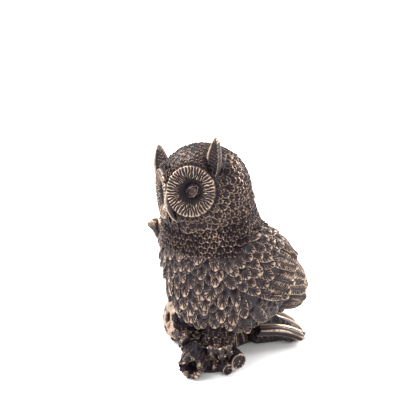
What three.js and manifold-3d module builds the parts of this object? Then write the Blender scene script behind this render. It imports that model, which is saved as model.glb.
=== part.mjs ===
// Owl figurine in cold-cast bronze, perched on a gnarled stump. Millimetres, +Z up. The owl faces -Y
// and its left side is +X. The origin is on the table, under the centre of the figure's footprint.
//
// The figure is a set of thin castings bonded along natural seams: the hollow body and head, the
// folded wings, the tail, the legs and feet, the face, and the wooden perch with its broken stubs
// and side branch. Each solid here is the plain outer form of one casting.
import * as THREE from "three";
import { mergeVertices } from "three/addons/utils/BufferGeometryUtils.js";
import Module from "manifold-3d";

const wasm = await Module();
wasm.setup();

// ---- Driving dimensions ----
const GAP = 0.3; // bond line between neighbouring castings
const WALL = 3.2; // thickness of the hollow castings
const FOOT_LIFT = 1; // the felt holds the castings this far above the table
const FELT_THICKNESS = FOOT_LIFT - GAP;
const ROUND_STEPS = 24; // facets round the body
const SMALL_STEPS = 12; // facets round the small pieces
const DISH_STEPS = 20; // facets round the facial discs and the wings
const TOE_STEPS = 8; // facets round the toes
const FAR = 200; // larger than anything here

// The body from belly to neck: height, half width (X), half depth (Y) and how far back its centre is.
const BODY_STATIONS = [
  { z: 17, halfWidth: 0, halfDepth: 0, back: 9 },
  { z: 18.5, halfWidth: 13, halfDepth: 14, back: 9 },
  { z: 22, halfWidth: 20, halfDepth: 21.5, back: 8.5 },
  { z: 28, halfWidth: 24.5, halfDepth: 25.5, back: 8 },
  { z: 38, halfWidth: 26.8, halfDepth: 27.5, back: 7 },
  { z: 48, halfWidth: 26.8, halfDepth: 27.2, back: 5 },
  { z: 58, halfWidth: 25.2, halfDepth: 25.2, back: 2 },
  { z: 67, halfWidth: 22.7, halfDepth: 22.7, back: -1.7 },
  { z: 75, halfWidth: 21.6, halfDepth: 20.8, back: -3 },
  { z: 81, halfWidth: 20.2, halfDepth: 18.2, back: -1.7 },
  { z: 86, halfWidth: 17.8, halfDepth: 12.8, back: 1.2 },
  { z: 91.5, halfWidth: 0, halfDepth: 0, back: 2 },
];
const BELLY_OPENING = { x: -9, y: 10, radius: 7, top: 30 }; // where the filler goes in

// The head is a ball, cocked towards the owl's right.
const HEAD_CENTRE = new THREE.Vector3(0, -7.5, 87);
const HEAD_RADIUS = 21.3;
const HEAD_ROLL = THREE.MathUtils.degToRad(-18);
const HEAD_CAVITY = { radius: 12.3, centre: new THREE.Vector3(0, 5, -2) };

// Each eye looks out from a dished disc, turned away from the beak.
const DISC_TURN = THREE.MathUtils.degToRad(31);
const DISC_RISE = THREE.MathUtils.degToRad(8);
const DISC_RADIUS = 11.4;
const DISC_BACK = 13.6; // distances from the head's centre
const DISC_RIM = 19.6;
const DISC_BOWL = 16;
const DISC_LIP = { inward: 0.7, down: 0.8 }; // the bevel on the rim
const DISC_BEND = { share: 0.7, rise: 1 }; // where the dish turns up towards the rim
const DISC_POCKET_OVERRUN = 4; // how far the pocket's cutter reaches past the skull
const EYE_RADIUS = 3.4;
const EYE_DISTANCE = 14;

// The ear tufts lie back against the skull and end in a point above it.
const EAR_CENTRE = new THREE.Vector3(17, -5.6, 13.6);
const EAR_HALF = new THREE.Vector3(3.7, 2.6, 9);
const EAR_LEAN = { back: 0.3, out: 0.2 };

// The folded wings: long drops that hug the body and meet behind the back. Each station is a
// radius and its place along the wing, from the shoulder to the tip.
const WING_STATIONS = [
  [0, -34.5],
  [10.2, -31],
  [14.6, -24],
  [17, -12],
  [16.6, 0],
  [13.2, 12],
  [10.2, 23],
  [7.2, 32],
  [0, 38.5],
];
const WING_CENTRE = new THREE.Vector3(11, 16, 47.5);
const WING_FULLNESS = { across: 1.14, under: 1.5 }; // stretch outwards, and on the lower side
const WING_DROOP = THREE.MathUtils.degToRad(-40);
const WING_PARTING = 0.6; // half the gap between the wings behind the back

// The stump's outline seen from above, round from the owl's right side. It is hollowed out under
// the left wing, between the broken stubs in front and the root under the tail.
const STUMP_OUTLINE = [
  [-28, 5],
  [-21, -2],
  [-12, -8.5],
  [-5, -15],
  [3, -16],
  [9, -13],
  [12, -7],
  [9.5, 2],
  [3, 8.5],
  [0, 15],
  [-1, 23],
  [0, 31],
  [-3, 35],
  [-10, 34],
  [-22, 26],
  [-28, 15],
];
const STUMP_CENTRE = new THREE.Vector2(-8, 12); // the outline is seen whole from here
const STUMP_TOP = 20;
const STUMP_LEAN = 0.06; // how much smaller the outline is at the top than at the foot
const STUMP_APRON = { y: 2, slope: THREE.MathUtils.degToRad(26) }; // the front falls away to the toes
const STUMP_ROOF = 2 * WALL; // thickness of the stump's casting under the bird
const STUMP_OUTLINE_STEPS = 36;
const FELT_INSET = 1.2; // the felt stops short of the stump's edge

// The tail is a plate that widens from root to end; its far edge bows out.
const TAIL = { root: 18, end: 32, length: 32, bow: 3, thickness: 9, rootY: 22, rootZ: 19, slope: 0.7 };
// The fluted wedge that carries the tail: half widths and places, from the root down to the table.
const TAIL_WEDGE = [
  [8.5, 22, 19],
  [14.5, 42.5, 1],
  [8.5, 22, 12],
  [4, 24, 1],
  [12, 38, 1],
];

// ---- Solids ----
function solidOf(geometry) {
  const bare = geometry.index ? geometry.toNonIndexed() : geometry.clone();
  bare.deleteAttribute("normal");
  bare.deleteAttribute("uv");
  const merged = mergeVertices(bare, 1e-4);
  const mesh = new wasm.Mesh({
    numProp: 3,
    vertProperties: merged.attributes.position.array,
    triVerts: new Uint32Array(merged.index.array),
  });
  return new wasm.Manifold(mesh);
}

function geometryOf(solid) {
  const mesh = solid.getMesh();
  const geometry = new THREE.BufferGeometry();
  geometry.setAttribute("position", new THREE.BufferAttribute(mesh.vertProperties, 3));
  geometry.setIndex(new THREE.BufferAttribute(mesh.triVerts, 1));
  geometry.computeVertexNormals();
  return geometry;
}

// A cut can leave loose slivers, so the casting is the largest body that remains.
function largest(solid) {
  return solid.decompose().sort((a, b) => b.volume() - a.volume())[0];
}

function cut(solid, ...cutters) {
  return largest(cutters.reduce((rest, cutter) => rest.subtract(cutter), solid));
}

function moved(geometry, matrix) {
  return geometry.clone().applyMatrix4(matrix);
}

function ball(radius, centre, scale = [1, 1, 1], rotation = [0, 0, 0], steps = SMALL_STEPS) {
  const geometry = new THREE.SphereGeometry(radius, steps, Math.round(steps * 0.6));
  const place = new THREE.Matrix4().compose(
    centre,
    new THREE.Quaternion().setFromEuler(new THREE.Euler(...rotation)),
    new THREE.Vector3(...scale),
  );
  return moved(geometry, place);
}

// A straight rod with a different radius at each end.
function rod(from, to, radiusFrom, radiusTo, steps = SMALL_STEPS) {
  const along = to.clone().sub(from);
  const geometry = new THREE.CylinderGeometry(radiusTo, radiusFrom, along.length(), steps);
  const turn = new THREE.Quaternion().setFromUnitVectors(
    new THREE.Vector3(0, 1, 0),
    along.clone().normalize(),
  );
  const middle = from.clone().add(to).multiplyScalar(0.5);
  return moved(geometry, new THREE.Matrix4().compose(middle, turn, new THREE.Vector3(1, 1, 1)));
}

function below(height) {
  const slab = new THREE.BoxGeometry(FAR, FAR, FAR);
  return solidOf(slab.translate(0, 0, height - FAR / 2));
}

// All that lies short of x on one side, where side is 1 for +X and -1 for -X.
function shortOf(x, side) {
  const slab = new THREE.BoxGeometry(FAR, FAR, FAR);
  return solidOf(slab.translate(side * (x - FAR / 2), 0, 0));
}

const vector = (x, y, z) => new THREE.Vector3(x, y, z);

// ---- The owl's body ----
// The stations are turned about Z as a lathe, then each ring is stretched in Y and set back.
function bodyForm(grow) {
  const first = BODY_STATIONS[0];
  const last = BODY_STATIONS[BODY_STATIONS.length - 1];
  const profile = BODY_STATIONS.map((s) => {
    const end = s === first ? -grow : s === last ? grow : 0;
    return new THREE.Vector2(s.halfWidth === 0 ? 0 : s.halfWidth + grow, s.z + end);
  });
  const geometry = new THREE.LatheGeometry(profile, ROUND_STEPS).rotateX(Math.PI / 2);
  const position = geometry.attributes.position;
  for (let i = 0; i < position.count; i += 1) {
    const station = BODY_STATIONS[i % BODY_STATIONS.length];
    const stretch = station.halfWidth ? (station.halfDepth + grow) / (station.halfWidth + grow) : 1;
    position.setY(i, position.getY(i) * stretch + station.back);
  }
  return solidOf(geometry);
}

function bodyCavity(grow) {
  return bodyForm(grow - WALL).subtract(below(BODY_STATIONS[0].z + WALL - grow));
}

function bodyShell() {
  const { x, y, radius, top } = BELLY_OPENING;
  const opening = rod(vector(x, y, 0), vector(x, y, top), radius, radius);
  return cut(bodyForm(0), bodyCavity(0), solidOf(opening));
}

// ---- Head and face, in the head's own frame ----
const headTurn = new THREE.Matrix4().makeRotationY(HEAD_ROLL);
const headFrame = new THREE.Matrix4().makeTranslation(HEAD_CENTRE).multiply(headTurn);
const toHead = headFrame.clone().invert();

function inHead(solid) {
  return solidOf(moved(geometryOf(solid), toHead));
}

function gaze(side) {
  return vector(
    side * Math.sin(DISC_TURN) * Math.cos(DISC_RISE),
    -Math.cos(DISC_TURN) * Math.cos(DISC_RISE),
    Math.sin(DISC_RISE),
  );
}

// Sets a shape that was turned about Y on the line of sight of one eye.
function onGaze(geometry, side) {
  const turn = new THREE.Quaternion().setFromUnitVectors(vector(0, 1, 0), gaze(side));
  return geometry.applyQuaternion(turn);
}

function discForm(side, grow) {
  const profile = [
    [EYE_RADIUS + GAP - grow, DISC_BACK - grow],
    [DISC_RADIUS + grow, DISC_BACK - grow],
    [DISC_RADIUS + grow, DISC_RIM - DISC_LIP.down],
    [DISC_RADIUS - DISC_LIP.inward, DISC_RIM],
    [DISC_RADIUS * DISC_BEND.share, DISC_BOWL + DISC_BEND.rise],
    [EYE_RADIUS + GAP - grow, DISC_BOWL],
    [EYE_RADIUS + GAP - grow, DISC_BACK - grow],
  ].map(([r, y]) => new THREE.Vector2(r, y));
  return solidOf(onGaze(new THREE.LatheGeometry(profile, DISH_STEPS), side));
}

function discPocket(side) {
  const reach = HEAD_RADIUS - DISC_BACK + DISC_POCKET_OVERRUN;
  const radius = DISC_RADIUS + GAP;
  const tube = new THREE.CylinderGeometry(radius, radius, reach, DISH_STEPS);
  tube.translate(0, DISC_BACK - GAP + reach / 2, 0);
  return solidOf(onGaze(tube, side));
}

function eyeForm(side, grow) {
  return solidOf(ball(EYE_RADIUS + grow, gaze(side).multiplyScalar(EYE_DISTANCE)));
}

function earForm(side, grow) {
  const half = EAR_HALF.clone().addScalar(grow).toArray();
  const centre = vector(side * EAR_CENTRE.x, EAR_CENTRE.y, EAR_CENTRE.z);
  return solidOf(ball(1, centre, half, [-EAR_LEAN.back, side * EAR_LEAN.out, 0]));
}

// The beak is a bridge between the discs and a hook that hangs from it.
const BRIDGE = { centre: vector(0, -19.4, -0.5), half: [2.2, 2.8, 7.5], lean: 0.05 };
const HOOK = { from: vector(0, -20.2, -3), to: vector(0, -19.6, -9.8), radii: [1.9, 0.5] };

function beakForm(grow) {
  const half = BRIDGE.half.map((h) => h + grow);
  const bridge = ball(1, BRIDGE.centre, half, [BRIDGE.lean, 0, 0]);
  const hook = rod(HOOK.from, HOOK.to, HOOK.radii[0] + grow, HOOK.radii[1] + grow);
  return solidOf(bridge).add(solidOf(hook));
}

function headCavity(grow) {
  return solidOf(ball(HEAD_CAVITY.radius + grow, HEAD_CAVITY.centre));
}

function headShell() {
  const skull = solidOf(ball(HEAD_RADIUS, vector(0, 0, 0), [1, 1, 1], [0, 0, 0], ROUND_STEPS));
  const sides = [-1, 1];
  return cut(
    skull,
    headCavity(0),
    inHead(bodyForm(GAP)),
    beakForm(GAP),
    ...sides.map((side) => discPocket(side)),
    ...sides.map((side) => eyeForm(side, GAP)),
    ...sides.map((side) => earForm(side, GAP)),
  );
}

// ---- Wings, tail and legs ----
function wingForm(side, grow) {
  const last = WING_STATIONS.length - 1;
  const profile = WING_STATIONS.map(([radius, along], i) => {
    const end = i === 0 ? -grow : i === last ? grow : 0;
    return new THREE.Vector2(radius === 0 ? 0 : radius + grow, along + end);
  });
  const drop = new THREE.LatheGeometry(profile, DISH_STEPS);
  const position = drop.attributes.position;
  for (let i = 0; i < position.count; i += 1) {
    const z = position.getZ(i);
    position.setX(i, position.getX(i) * WING_FULLNESS.across);
    position.setZ(i, z < 0 ? z * WING_FULLNESS.under : z);
  }
  drop.rotateX(WING_DROOP).translate(side * WING_CENTRE.x, WING_CENTRE.y, WING_CENTRE.z);
  return solidOf(drop).subtract(shortOf(WING_PARTING - grow, side));
}

// A fan of stiff feathers that slopes down from the rump to the table, over a solid wedge.
function tailForm() {
  const { root, end, length, bow, thickness: depth } = TAIL;
  const outline = new THREE.Shape();
  outline.moveTo(-root / 2, 0);
  outline.lineTo(root / 2, 0);
  outline.lineTo(end / 2, length - bow);
  outline.quadraticCurveTo(0, length + bow, -end / 2, length - bow);
  outline.closePath();
  const plate = new THREE.ExtrudeGeometry(outline, { depth, bevelEnabled: false, curveSegments: 8 });
  plate.translate(0, 0, -depth / 2).rotateX(-TAIL.slope);
  plate.translate(0, TAIL.rootY, TAIL.rootZ);
  const corners = TAIL_WEDGE.flatMap(([x, y, z]) => [
    [x, y, z],
    [-x, y, z],
  ]);
  const wedge = wasm.Manifold.hull(corners);
  return solidOf(plate).add(wedge).subtract(below(FOOT_LIFT));
}

const THIGHS = {
  left: { centre: vector(10, -6.5, 20.5), half: [6.5, 7, 8] },
  right: { centre: vector(-9, -7.5, 20.5), half: [6.5, 7, 8] },
};

function thighForm({ centre, half }, grow) {
  return solidOf(ball(1, centre, half.map((h) => h + grow)));
}

// Each toe is two knuckles and a claw, from the foot out over the wood.
const TOES = {
  left: [
    [vector(11, -8, 14.5), vector(14.5, -7, 13.4), vector(17, -6.4, 10.6), vector(17.6, -6.2, 7.6)],
    [vector(11, -8, 14.5), vector(14, -10.5, 13), vector(15.8, -11.6, 9.6), vector(16.2, -11.8, 6.6)],
    [vector(11, -8, 14.5), vector(11.4, -13, 13.2), vector(11.6, -15.6, 10), vector(11.8, -16.2, 7)],
  ],
  right: [
    [vector(-8, -8, 17), vector(-12, -10, 15), vector(-14.6, -11.6, 11.4), vector(-15.2, -12.2, 8)],
    [vector(-8, -8, 17), vector(-9, -13, 14.6), vector(-10, -15.4, 11), vector(-10.3, -16, 7.6)],
    [vector(-8, -8, 17), vector(-4.6, -13.6, 14.6), vector(-4.4, -17.4, 11.6), vector(-4.4, -18.8, 8)],
  ],
};
const TOE_RADII = [2.6, 2.1, 1.6, 0.5];
const KNUCKLE_SWELL = 1.12;

function footForm(toes, grow) {
  const pieces = toes.flatMap((points) =>
    points.slice(1).flatMap((point, i) => {
      const link = rod(points[i], point, TOE_RADII[i] + grow, TOE_RADII[i + 1] + grow, TOE_STEPS);
      const swell = TOE_RADII[i + 1] * KNUCKLE_SWELL + grow;
      const knuckle = ball(swell, point, [1, 1, 1], [0, 0, 0], TOE_STEPS);
      return [solidOf(link), solidOf(knuckle)];
    }),
  );
  return largest(pieces.reduce((whole, piece) => whole.add(piece)));
}

// ---- The wooden perch ----
function apron(grow) {
  const slab = new THREE.BoxGeometry(FAR, FAR, FAR).translate(0, 0, FAR / 2 + grow);
  return solidOf(slab.rotateX(STUMP_APRON.slope).translate(0, STUMP_APRON.y, STUMP_TOP));
}

function stumpForm(grow, top = STUMP_TOP, bottom = FOOT_LIFT) {
  const centre = STUMP_CENTRE;
  const points = STUMP_OUTLINE.map(([x, y]) => {
    const out = new THREE.Vector2(x, y).sub(centre);
    return out.setLength(out.length() + grow).add(centre);
  });
  const loop = new THREE.SplineCurve([...points, points[0]]);
  const outline = new THREE.Shape(loop.getPoints(STUMP_OUTLINE_STEPS));
  const depth = top - bottom;
  const block = new THREE.ExtrudeGeometry(outline, { depth, bevelEnabled: false, steps: 2 });
  block.translate(0, 0, bottom);
  const position = block.attributes.position;
  for (let i = 0; i < position.count; i += 1) {
    const rise = (position.getZ(i) - bottom) / depth;
    const lean = 1 - STUMP_LEAN * rise;
    position.setX(i, centre.x + (position.getX(i) - centre.x) * lean);
    position.setY(i, centre.y + (position.getY(i) - centre.y) * lean);
  }
  return solidOf(block).subtract(apron(grow));
}

const STUBS = {
  hollow: { from: vector(1, -9, 7.4), to: vector(8, -23.6, 6.6), radii: [6.6, 5.9], bore: 3.9, depth: 6 },
  ringed: { from: vector(0, 2, 7), to: vector(17.4, -1.6, 5.4), radii: [5, 4.3] },
  split: { from: vector(8, -6, 4.6), to: vector(18.4, -9.6, 4.2), radii: [3.2, 2.9] },
};

function stubForm({ from, to, radii }, grow) {
  const along = to.clone().sub(from).setLength(grow);
  return solidOf(rod(from, to.clone().add(along), radii[0] + grow, radii[1] + grow));
}

const BORE_TAPER = 0.6; // how wide the bore's floor is, against its mouth
const BORE_OVERRUN = 2; // how far the bore's cutter reaches past the broken end

function stubBore({ from, to, bore, depth }) {
  const along = to.clone().sub(from).normalize();
  const inner = to.clone().addScaledVector(along, -depth);
  const outer = to.clone().addScaledVector(along, BORE_OVERRUN);
  return solidOf(rod(inner, outer, bore * BORE_TAPER, bore));
}

// A stripped, swollen limb base at the owl's right, and the branch that rises from it.
const KNOLL = { centre: vector(-26, 4.5, 12), half: [9, 9.5, 13.5], lean: 0.1 };

function knollForm(grow) {
  const half = KNOLL.half.map((h) => h + grow);
  const dome = ball(1, KNOLL.centre, half, [0, KNOLL.lean, 0]);
  return solidOf(dome).subtract(below(FOOT_LIFT));
}

const BRANCH = {
  lower: [vector(-28, 2, 20), vector(-30.4, 0.5, 38), 3, 2.3],
  upper: [vector(-30.4, 0.5, 38.3), vector(-31.6, -2, 52.5), 2.3, 1.9],
  forkTip: [vector(-31.6, -2, 52.8), vector(-36, -3.8, 59.8), 2, 1.4],
  forkStub: [vector(-31.8, -2.2, 53.5), vector(-31.2, -2.2, 60), 1.8, 1.5],
};

function branchForm([from, to, radiusFrom, radiusTo], grow) {
  const along = to.clone().sub(from).setLength(grow);
  const start = from.clone().sub(along);
  return solidOf(rod(start, to.clone().add(along), radiusFrom + grow, radiusTo + grow));
}

// ---- Materials ----
const bronze = new THREE.MeshStandardMaterial({ color: 0x5a4a40, roughness: 0.42, metalness: 0.85 });
const filler = new THREE.MeshStandardMaterial({ color: 0xb8ab97, roughness: 0.9, metalness: 0 });
const resin = new THREE.MeshStandardMaterial({ color: 0x2a2422, roughness: 0.6, metalness: 0 });
const felt = new THREE.MeshStandardMaterial({ color: 0x1d1b1a, roughness: 1, metalness: 0 });

function piece(name, solid, material = bronze) {
  const mesh = new THREE.Mesh(geometryOf(solid), material);
  mesh.name = name;
  return mesh;
}

// ---- Assembly ----
function headAssembly() {
  const head = new THREE.Group();
  head.position.copy(HEAD_CENTRE);
  head.rotation.y = HEAD_ROLL;
  const neck = inHead(bodyForm(GAP));
  head.add(piece("head_shell", headShell()));
  head.add(piece("head_filler", cut(headCavity(-GAP), neck), filler));
  head.add(piece("beak", cut(beakForm(0), neck, discForm(1, GAP), discForm(-1, GAP))));
  for (const [word, side] of [["left", 1], ["right", -1]]) {
    const disc = cut(discForm(side, 0), shortOf(GAP, side), beakForm(GAP), neck);
    head.add(piece(`${word}_facial_disc`, disc));
    head.add(piece(`${word}_eye`, eyeForm(side, 0)));
    head.add(piece(`${word}_ear_tuft`, cut(earForm(side, 0), discPocket(side))));
  }
  return head;
}

function birdAssembly() {
  const bird = new THREE.Group();
  const body = bodyForm(GAP);
  const head = solidOf(moved(ball(HEAD_RADIUS + GAP, vector(0, 0, 0)), headFrame));
  bird.add(piece("body_shell", bodyShell()));
  bird.add(piece("body_filler", bodyCavity(-GAP), filler));
  for (const [word, side] of [["left", 1], ["right", -1]]) {
    bird.add(piece(`${word}_wing`, cut(wingForm(side, 0), body, head, stumpForm(GAP))));
    const toes = footForm(TOES[word], GAP);
    bird.add(piece(`${word}_thigh`, cut(thighForm(THIGHS[word], 0), body, toes, stumpForm(GAP))));
    bird.add(piece(`${word}_foot`, cut(footForm(TOES[word], 0), body)));
  }
  const wings = [wingForm(1, GAP), wingForm(-1, GAP)];
  bird.add(piece("tail_fan", cut(tailForm(), body, stumpForm(GAP), ...wings)));
  return bird;
}

function perchAssembly() {
  const perch = new THREE.Group();
  const body = bodyForm(GAP);
  const feet = [footForm(TOES.left, GAP), footForm(TOES.right, GAP)];
  const wings = [wingForm(1, GAP), wingForm(-1, GAP)];
  const stump = stumpForm(GAP);
  const cavity = stumpForm(-WALL, STUMP_TOP - STUMP_ROOF, 0);
  perch.add(piece("stump_shell", cut(stumpForm(0), body, cavity, ...feet)));

  const { hollow, ringed, split } = STUBS;
  perch.add(piece("hollow_stub", cut(stubForm(hollow, 0), stubBore(hollow), stump, body, ...feet)));
  const hollowRoom = stubForm(hollow, GAP);
  perch.add(piece("ringed_stub", cut(stubForm(ringed, 0), hollowRoom, stump, body, ...feet)));
  const ringedRoom = stubForm(ringed, GAP);
  perch.add(piece("split_stub", cut(stubForm(split, 0), hollowRoom, ringedRoom, stump, ...feet)));

  perch.add(piece("limb_knoll", cut(knollForm(0), stump, body, ...wings)));
  const knoll = knollForm(GAP);
  perch.add(piece("branch_lower", cut(branchForm(BRANCH.lower, 0), knoll, body, ...wings)));
  const lower = branchForm(BRANCH.lower, GAP);
  perch.add(piece("branch_upper", cut(branchForm(BRANCH.upper, 0), lower, body, ...wings)));
  const upper = branchForm(BRANCH.upper, GAP);
  const fork = branchForm(BRANCH.forkTip, 0).add(branchForm(BRANCH.forkStub, 0));
  perch.add(piece("branch_fork", cut(fork, upper, body, ...wings)));

  const plug = stumpForm(-WALL - GAP, STUMP_TOP - STUMP_ROOF - GAP, FOOT_LIFT);
  perch.add(piece("base_plug", plug, resin));
  const pad = stumpForm(-FELT_INSET, FELT_THICKNESS, 0);
  perch.add(piece("felt_pad", pad, felt));
  return perch;
}

const owl = new THREE.Group();
owl.add(headAssembly(), birdAssembly(), perchAssembly());

// The origin goes under the centre of the footprint.
owl.updateMatrixWorld(true);
const middle = new THREE.Box3().setFromObject(owl, true).getCenter(new THREE.Vector3());
owl.position.set(-middle.x, -middle.y, 0);

export default owl;
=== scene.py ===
import math

import bpy
import numpy as np
from mathutils import Matrix, Vector, noise
from mathutils.bvhtree import BVHTree


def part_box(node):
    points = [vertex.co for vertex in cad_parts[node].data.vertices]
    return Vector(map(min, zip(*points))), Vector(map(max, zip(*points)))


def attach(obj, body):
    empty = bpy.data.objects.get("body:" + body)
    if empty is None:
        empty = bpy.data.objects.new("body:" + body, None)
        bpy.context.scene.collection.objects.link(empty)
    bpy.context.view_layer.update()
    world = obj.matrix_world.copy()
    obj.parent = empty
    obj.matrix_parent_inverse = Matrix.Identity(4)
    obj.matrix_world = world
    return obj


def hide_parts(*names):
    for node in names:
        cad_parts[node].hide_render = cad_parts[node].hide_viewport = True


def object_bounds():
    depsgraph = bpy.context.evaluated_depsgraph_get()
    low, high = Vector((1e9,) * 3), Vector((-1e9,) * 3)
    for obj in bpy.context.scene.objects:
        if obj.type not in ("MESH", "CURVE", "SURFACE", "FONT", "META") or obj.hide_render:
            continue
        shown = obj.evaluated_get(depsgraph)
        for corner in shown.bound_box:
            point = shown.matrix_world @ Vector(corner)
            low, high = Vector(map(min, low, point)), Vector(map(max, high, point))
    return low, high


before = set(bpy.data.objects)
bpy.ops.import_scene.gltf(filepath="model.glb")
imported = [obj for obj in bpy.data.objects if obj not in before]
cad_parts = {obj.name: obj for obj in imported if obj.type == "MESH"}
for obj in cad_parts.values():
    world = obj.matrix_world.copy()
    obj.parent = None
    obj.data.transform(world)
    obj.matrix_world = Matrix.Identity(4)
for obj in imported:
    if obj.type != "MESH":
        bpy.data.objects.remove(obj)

CAD_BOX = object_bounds()
MM = 0.001
rng = np.random.default_rng(11)

SIDES = {"left": 1, "right": -1}
UP = np.array([0.0, 0.0, 1.0])
HEAD_RADIUS = 21.3
EYE_DISTANCE = 14.0      # from the head's centre
DISC_TURN = math.radians(31)
DISC_RISE = math.radians(8)
WING_DROOP = math.radians(40)


# ---- Small vector helpers ----
def unit(v):
    v = np.asarray(v, float)
    return v / np.maximum(np.linalg.norm(v, axis=-1, keepdims=True), 1e-9)


def tangent(direction, normal):
    """The part of direction that lies in the surface."""
    direction, normal = np.asarray(direction, float), np.asarray(normal, float)
    return unit(direction - normal * np.sum(direction * normal, axis=-1, keepdims=True))


def blend(low, high, x):
    """0 below low, 1 above high, and smooth between."""
    t = np.clip((np.asarray(x, float) - low) / (high - low), 0, 1)
    return t * t * (3 - 2 * t)


def mix(a, b, t):
    return a + (b - a) * t


def cad(node):
    """A CAD node's vertices in millimetres, and its faces."""
    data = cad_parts[node].data
    co = np.empty(len(data.vertices) * 3)
    data.vertices.foreach_get("co", co)
    return co.reshape(-1, 3) / MM, [tuple(p.vertices) for p in data.polygons]


def middle(node):
    low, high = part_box(node)
    return np.array((low + high) / 2) / MM


def box_mm(node):
    """The low and high corners of a CAD node's box, in millimetres."""
    return [np.array(corner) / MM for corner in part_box(node)]


def spoke_at(turn, rise=0.0):
    """The direction straight ahead of the owl, turned towards its left and then raised."""
    flat = math.cos(rise)
    return np.array([math.sin(turn) * flat, -math.cos(turn) * flat, math.sin(rise)])


def staggered(count, row):
    """Angles spaced evenly round a ring, moved on by half a step in every other row."""
    return [(k + 0.5 * (row % 2)) * 2 * math.pi / count for k in range(count)]


def angle_between(first, second):
    return math.acos(np.clip(first @ second, -1, 1))


def turned(direction, normal, angle):
    """direction turned about normal."""
    side = np.cross(normal, direction)
    return direction * math.cos(angle) + side * math.sin(angle)


# ---- Smoothed copies of the castings ----
class Surface:
    """A voxel remesh of some CAD nodes, smoothed, to lay feathers on or to show as a skin."""

    def __init__(self, nodes, voxel, smoothing, swell=0.0):
        verts, faces = [], []
        for node in nodes:
            co, polys = cad(node)
            base = sum(len(v) for v in verts)
            verts.append(co)
            faces += [tuple(i + base for i in p) for p in polys]
        mesh = bpy.data.meshes.new("surface")
        mesh.from_pydata(np.concatenate(verts).tolist(), [], faces)
        obj = bpy.data.objects.new("surface", mesh)
        bpy.context.scene.collection.objects.link(obj)
        remesh = obj.modifiers.new("remesh", "REMESH")
        remesh.mode = "VOXEL"
        remesh.voxel_size = voxel
        soften = obj.modifiers.new("soften", "SMOOTH")
        soften.factor = 0.5
        soften.iterations = smoothing
        made = bpy.data.meshes.new_from_object(obj.evaluated_get(bpy.context.evaluated_depsgraph_get()))
        count = len(made.vertices)
        co, normals = np.empty(count * 3), np.empty(count * 3)
        made.vertices.foreach_get("co", co)
        made.vertices.foreach_get("normal", normals)
        self.normals = normals.reshape(-1, 3)
        self.verts = co.reshape(-1, 3) + self.normals * swell
        self.faces = [tuple(p.vertices) for p in made.polygons]
        self.tree = BVHTree.FromPolygons([Vector(v) for v in self.verts], self.faces)
        bpy.data.objects.remove(obj)
        bpy.data.meshes.remove(mesh)
        bpy.data.meshes.remove(made)

    def nearest(self, points):
        """The closest surface points and their normals."""
        hits = [self.tree.find_nearest(Vector(p)) for p in points]
        return np.array([h[0] for h in hits]), np.array([h[1] for h in hits])

    def from_outside(self, centre, spoke, reach=90.0):
        """Where the line from far out along spoke, back towards centre, first meets the surface."""
        start = Vector(centre) + Vector(spoke) * reach
        place, normal, _, distance = self.tree.ray_cast(start, -Vector(spoke), reach)
        return (None, None) if place is None else (np.array(place), np.array(normal))


class Castings:
    """The unchanged CAD surfaces, to tell which casting a point of a smoothed surface belongs to."""

    def __init__(self, nodes):
        self.trees = {}
        for node in nodes:
            verts, faces = cad(node)
            self.trees[node] = BVHTree.FromPolygons([Vector(v) for v in verts], faces)

    def owner(self, point):
        return min(self.trees, key=lambda node: self.trees[node].find_nearest(Vector(point))[3])


# ---- Making pieces ----
TABLE_CLEARANCE = 0.4       # no casting reaches below this height; the felt does


def make_piece(name, verts, faces, material, nodes, relief, crease=50.0):
    """Adds a piece that rides on the figure, in place of some CAD nodes.

    verts are in millimetres, faces is a list of arrays of quads or triangles, relief is 1 on rubbed
    ridges and 0 in recesses and in places also carries painted shade and highlights, and crease is in
    degrees.
    """
    verts = np.array(verts, float)
    verts[:, 2] = np.maximum(verts[:, 2], TABLE_CLEARANCE)
    mesh = bpy.data.meshes.new(name)
    flat = [np.asarray(f, np.int32).reshape(len(f), -1) for f in faces if len(f)]
    loops = np.concatenate([f.ravel() for f in flat])
    sizes = np.concatenate([np.full(len(f), f.shape[1]) for f in flat])
    starts = np.concatenate([[0], np.cumsum(sizes)[:-1]]).astype(np.int32)
    mesh.vertices.add(len(verts))
    mesh.vertices.foreach_set("co", (verts * MM).ravel())
    mesh.loops.add(len(loops))
    mesh.loops.foreach_set("vertex_index", loops)
    mesh.polygons.add(len(sizes))
    mesh.polygons.foreach_set("loop_start", starts)
    mesh.update(calc_edges=True)
    mesh.validate()
    mesh.polygons.foreach_set("use_smooth", np.ones(len(mesh.polygons), bool))
    mesh.set_sharp_from_angle(angle=math.radians(crease))
    worn = mesh.attributes.new("relief", "FLOAT", "POINT")
    worn.data.foreach_set("value", np.asarray(relief, np.float32).ravel())
    mesh.materials.append(material)
    piece = bpy.data.objects.new(name, mesh)
    bpy.context.scene.collection.objects.link(piece)
    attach(piece, "root")
    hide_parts(*nodes)


def quads_of(faces):
    """Splits a list of faces into the arrays of quads and triangles that make_piece takes."""
    return [[f for f in faces if len(f) == 4], [f for f in faces if len(f) == 3]]


def fractal(points, scale, octaves=3, seed=0.0):
    """Smooth noise from about -1 to 1 at each point, with features about scale millimetres across."""
    shift = Vector((seed * 17.3, seed * 5.1, seed * 9.7))
    return np.array([noise.fractal(Vector(p) / scale + shift, 0.9, 2.1, octaves) for p in points])


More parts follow.
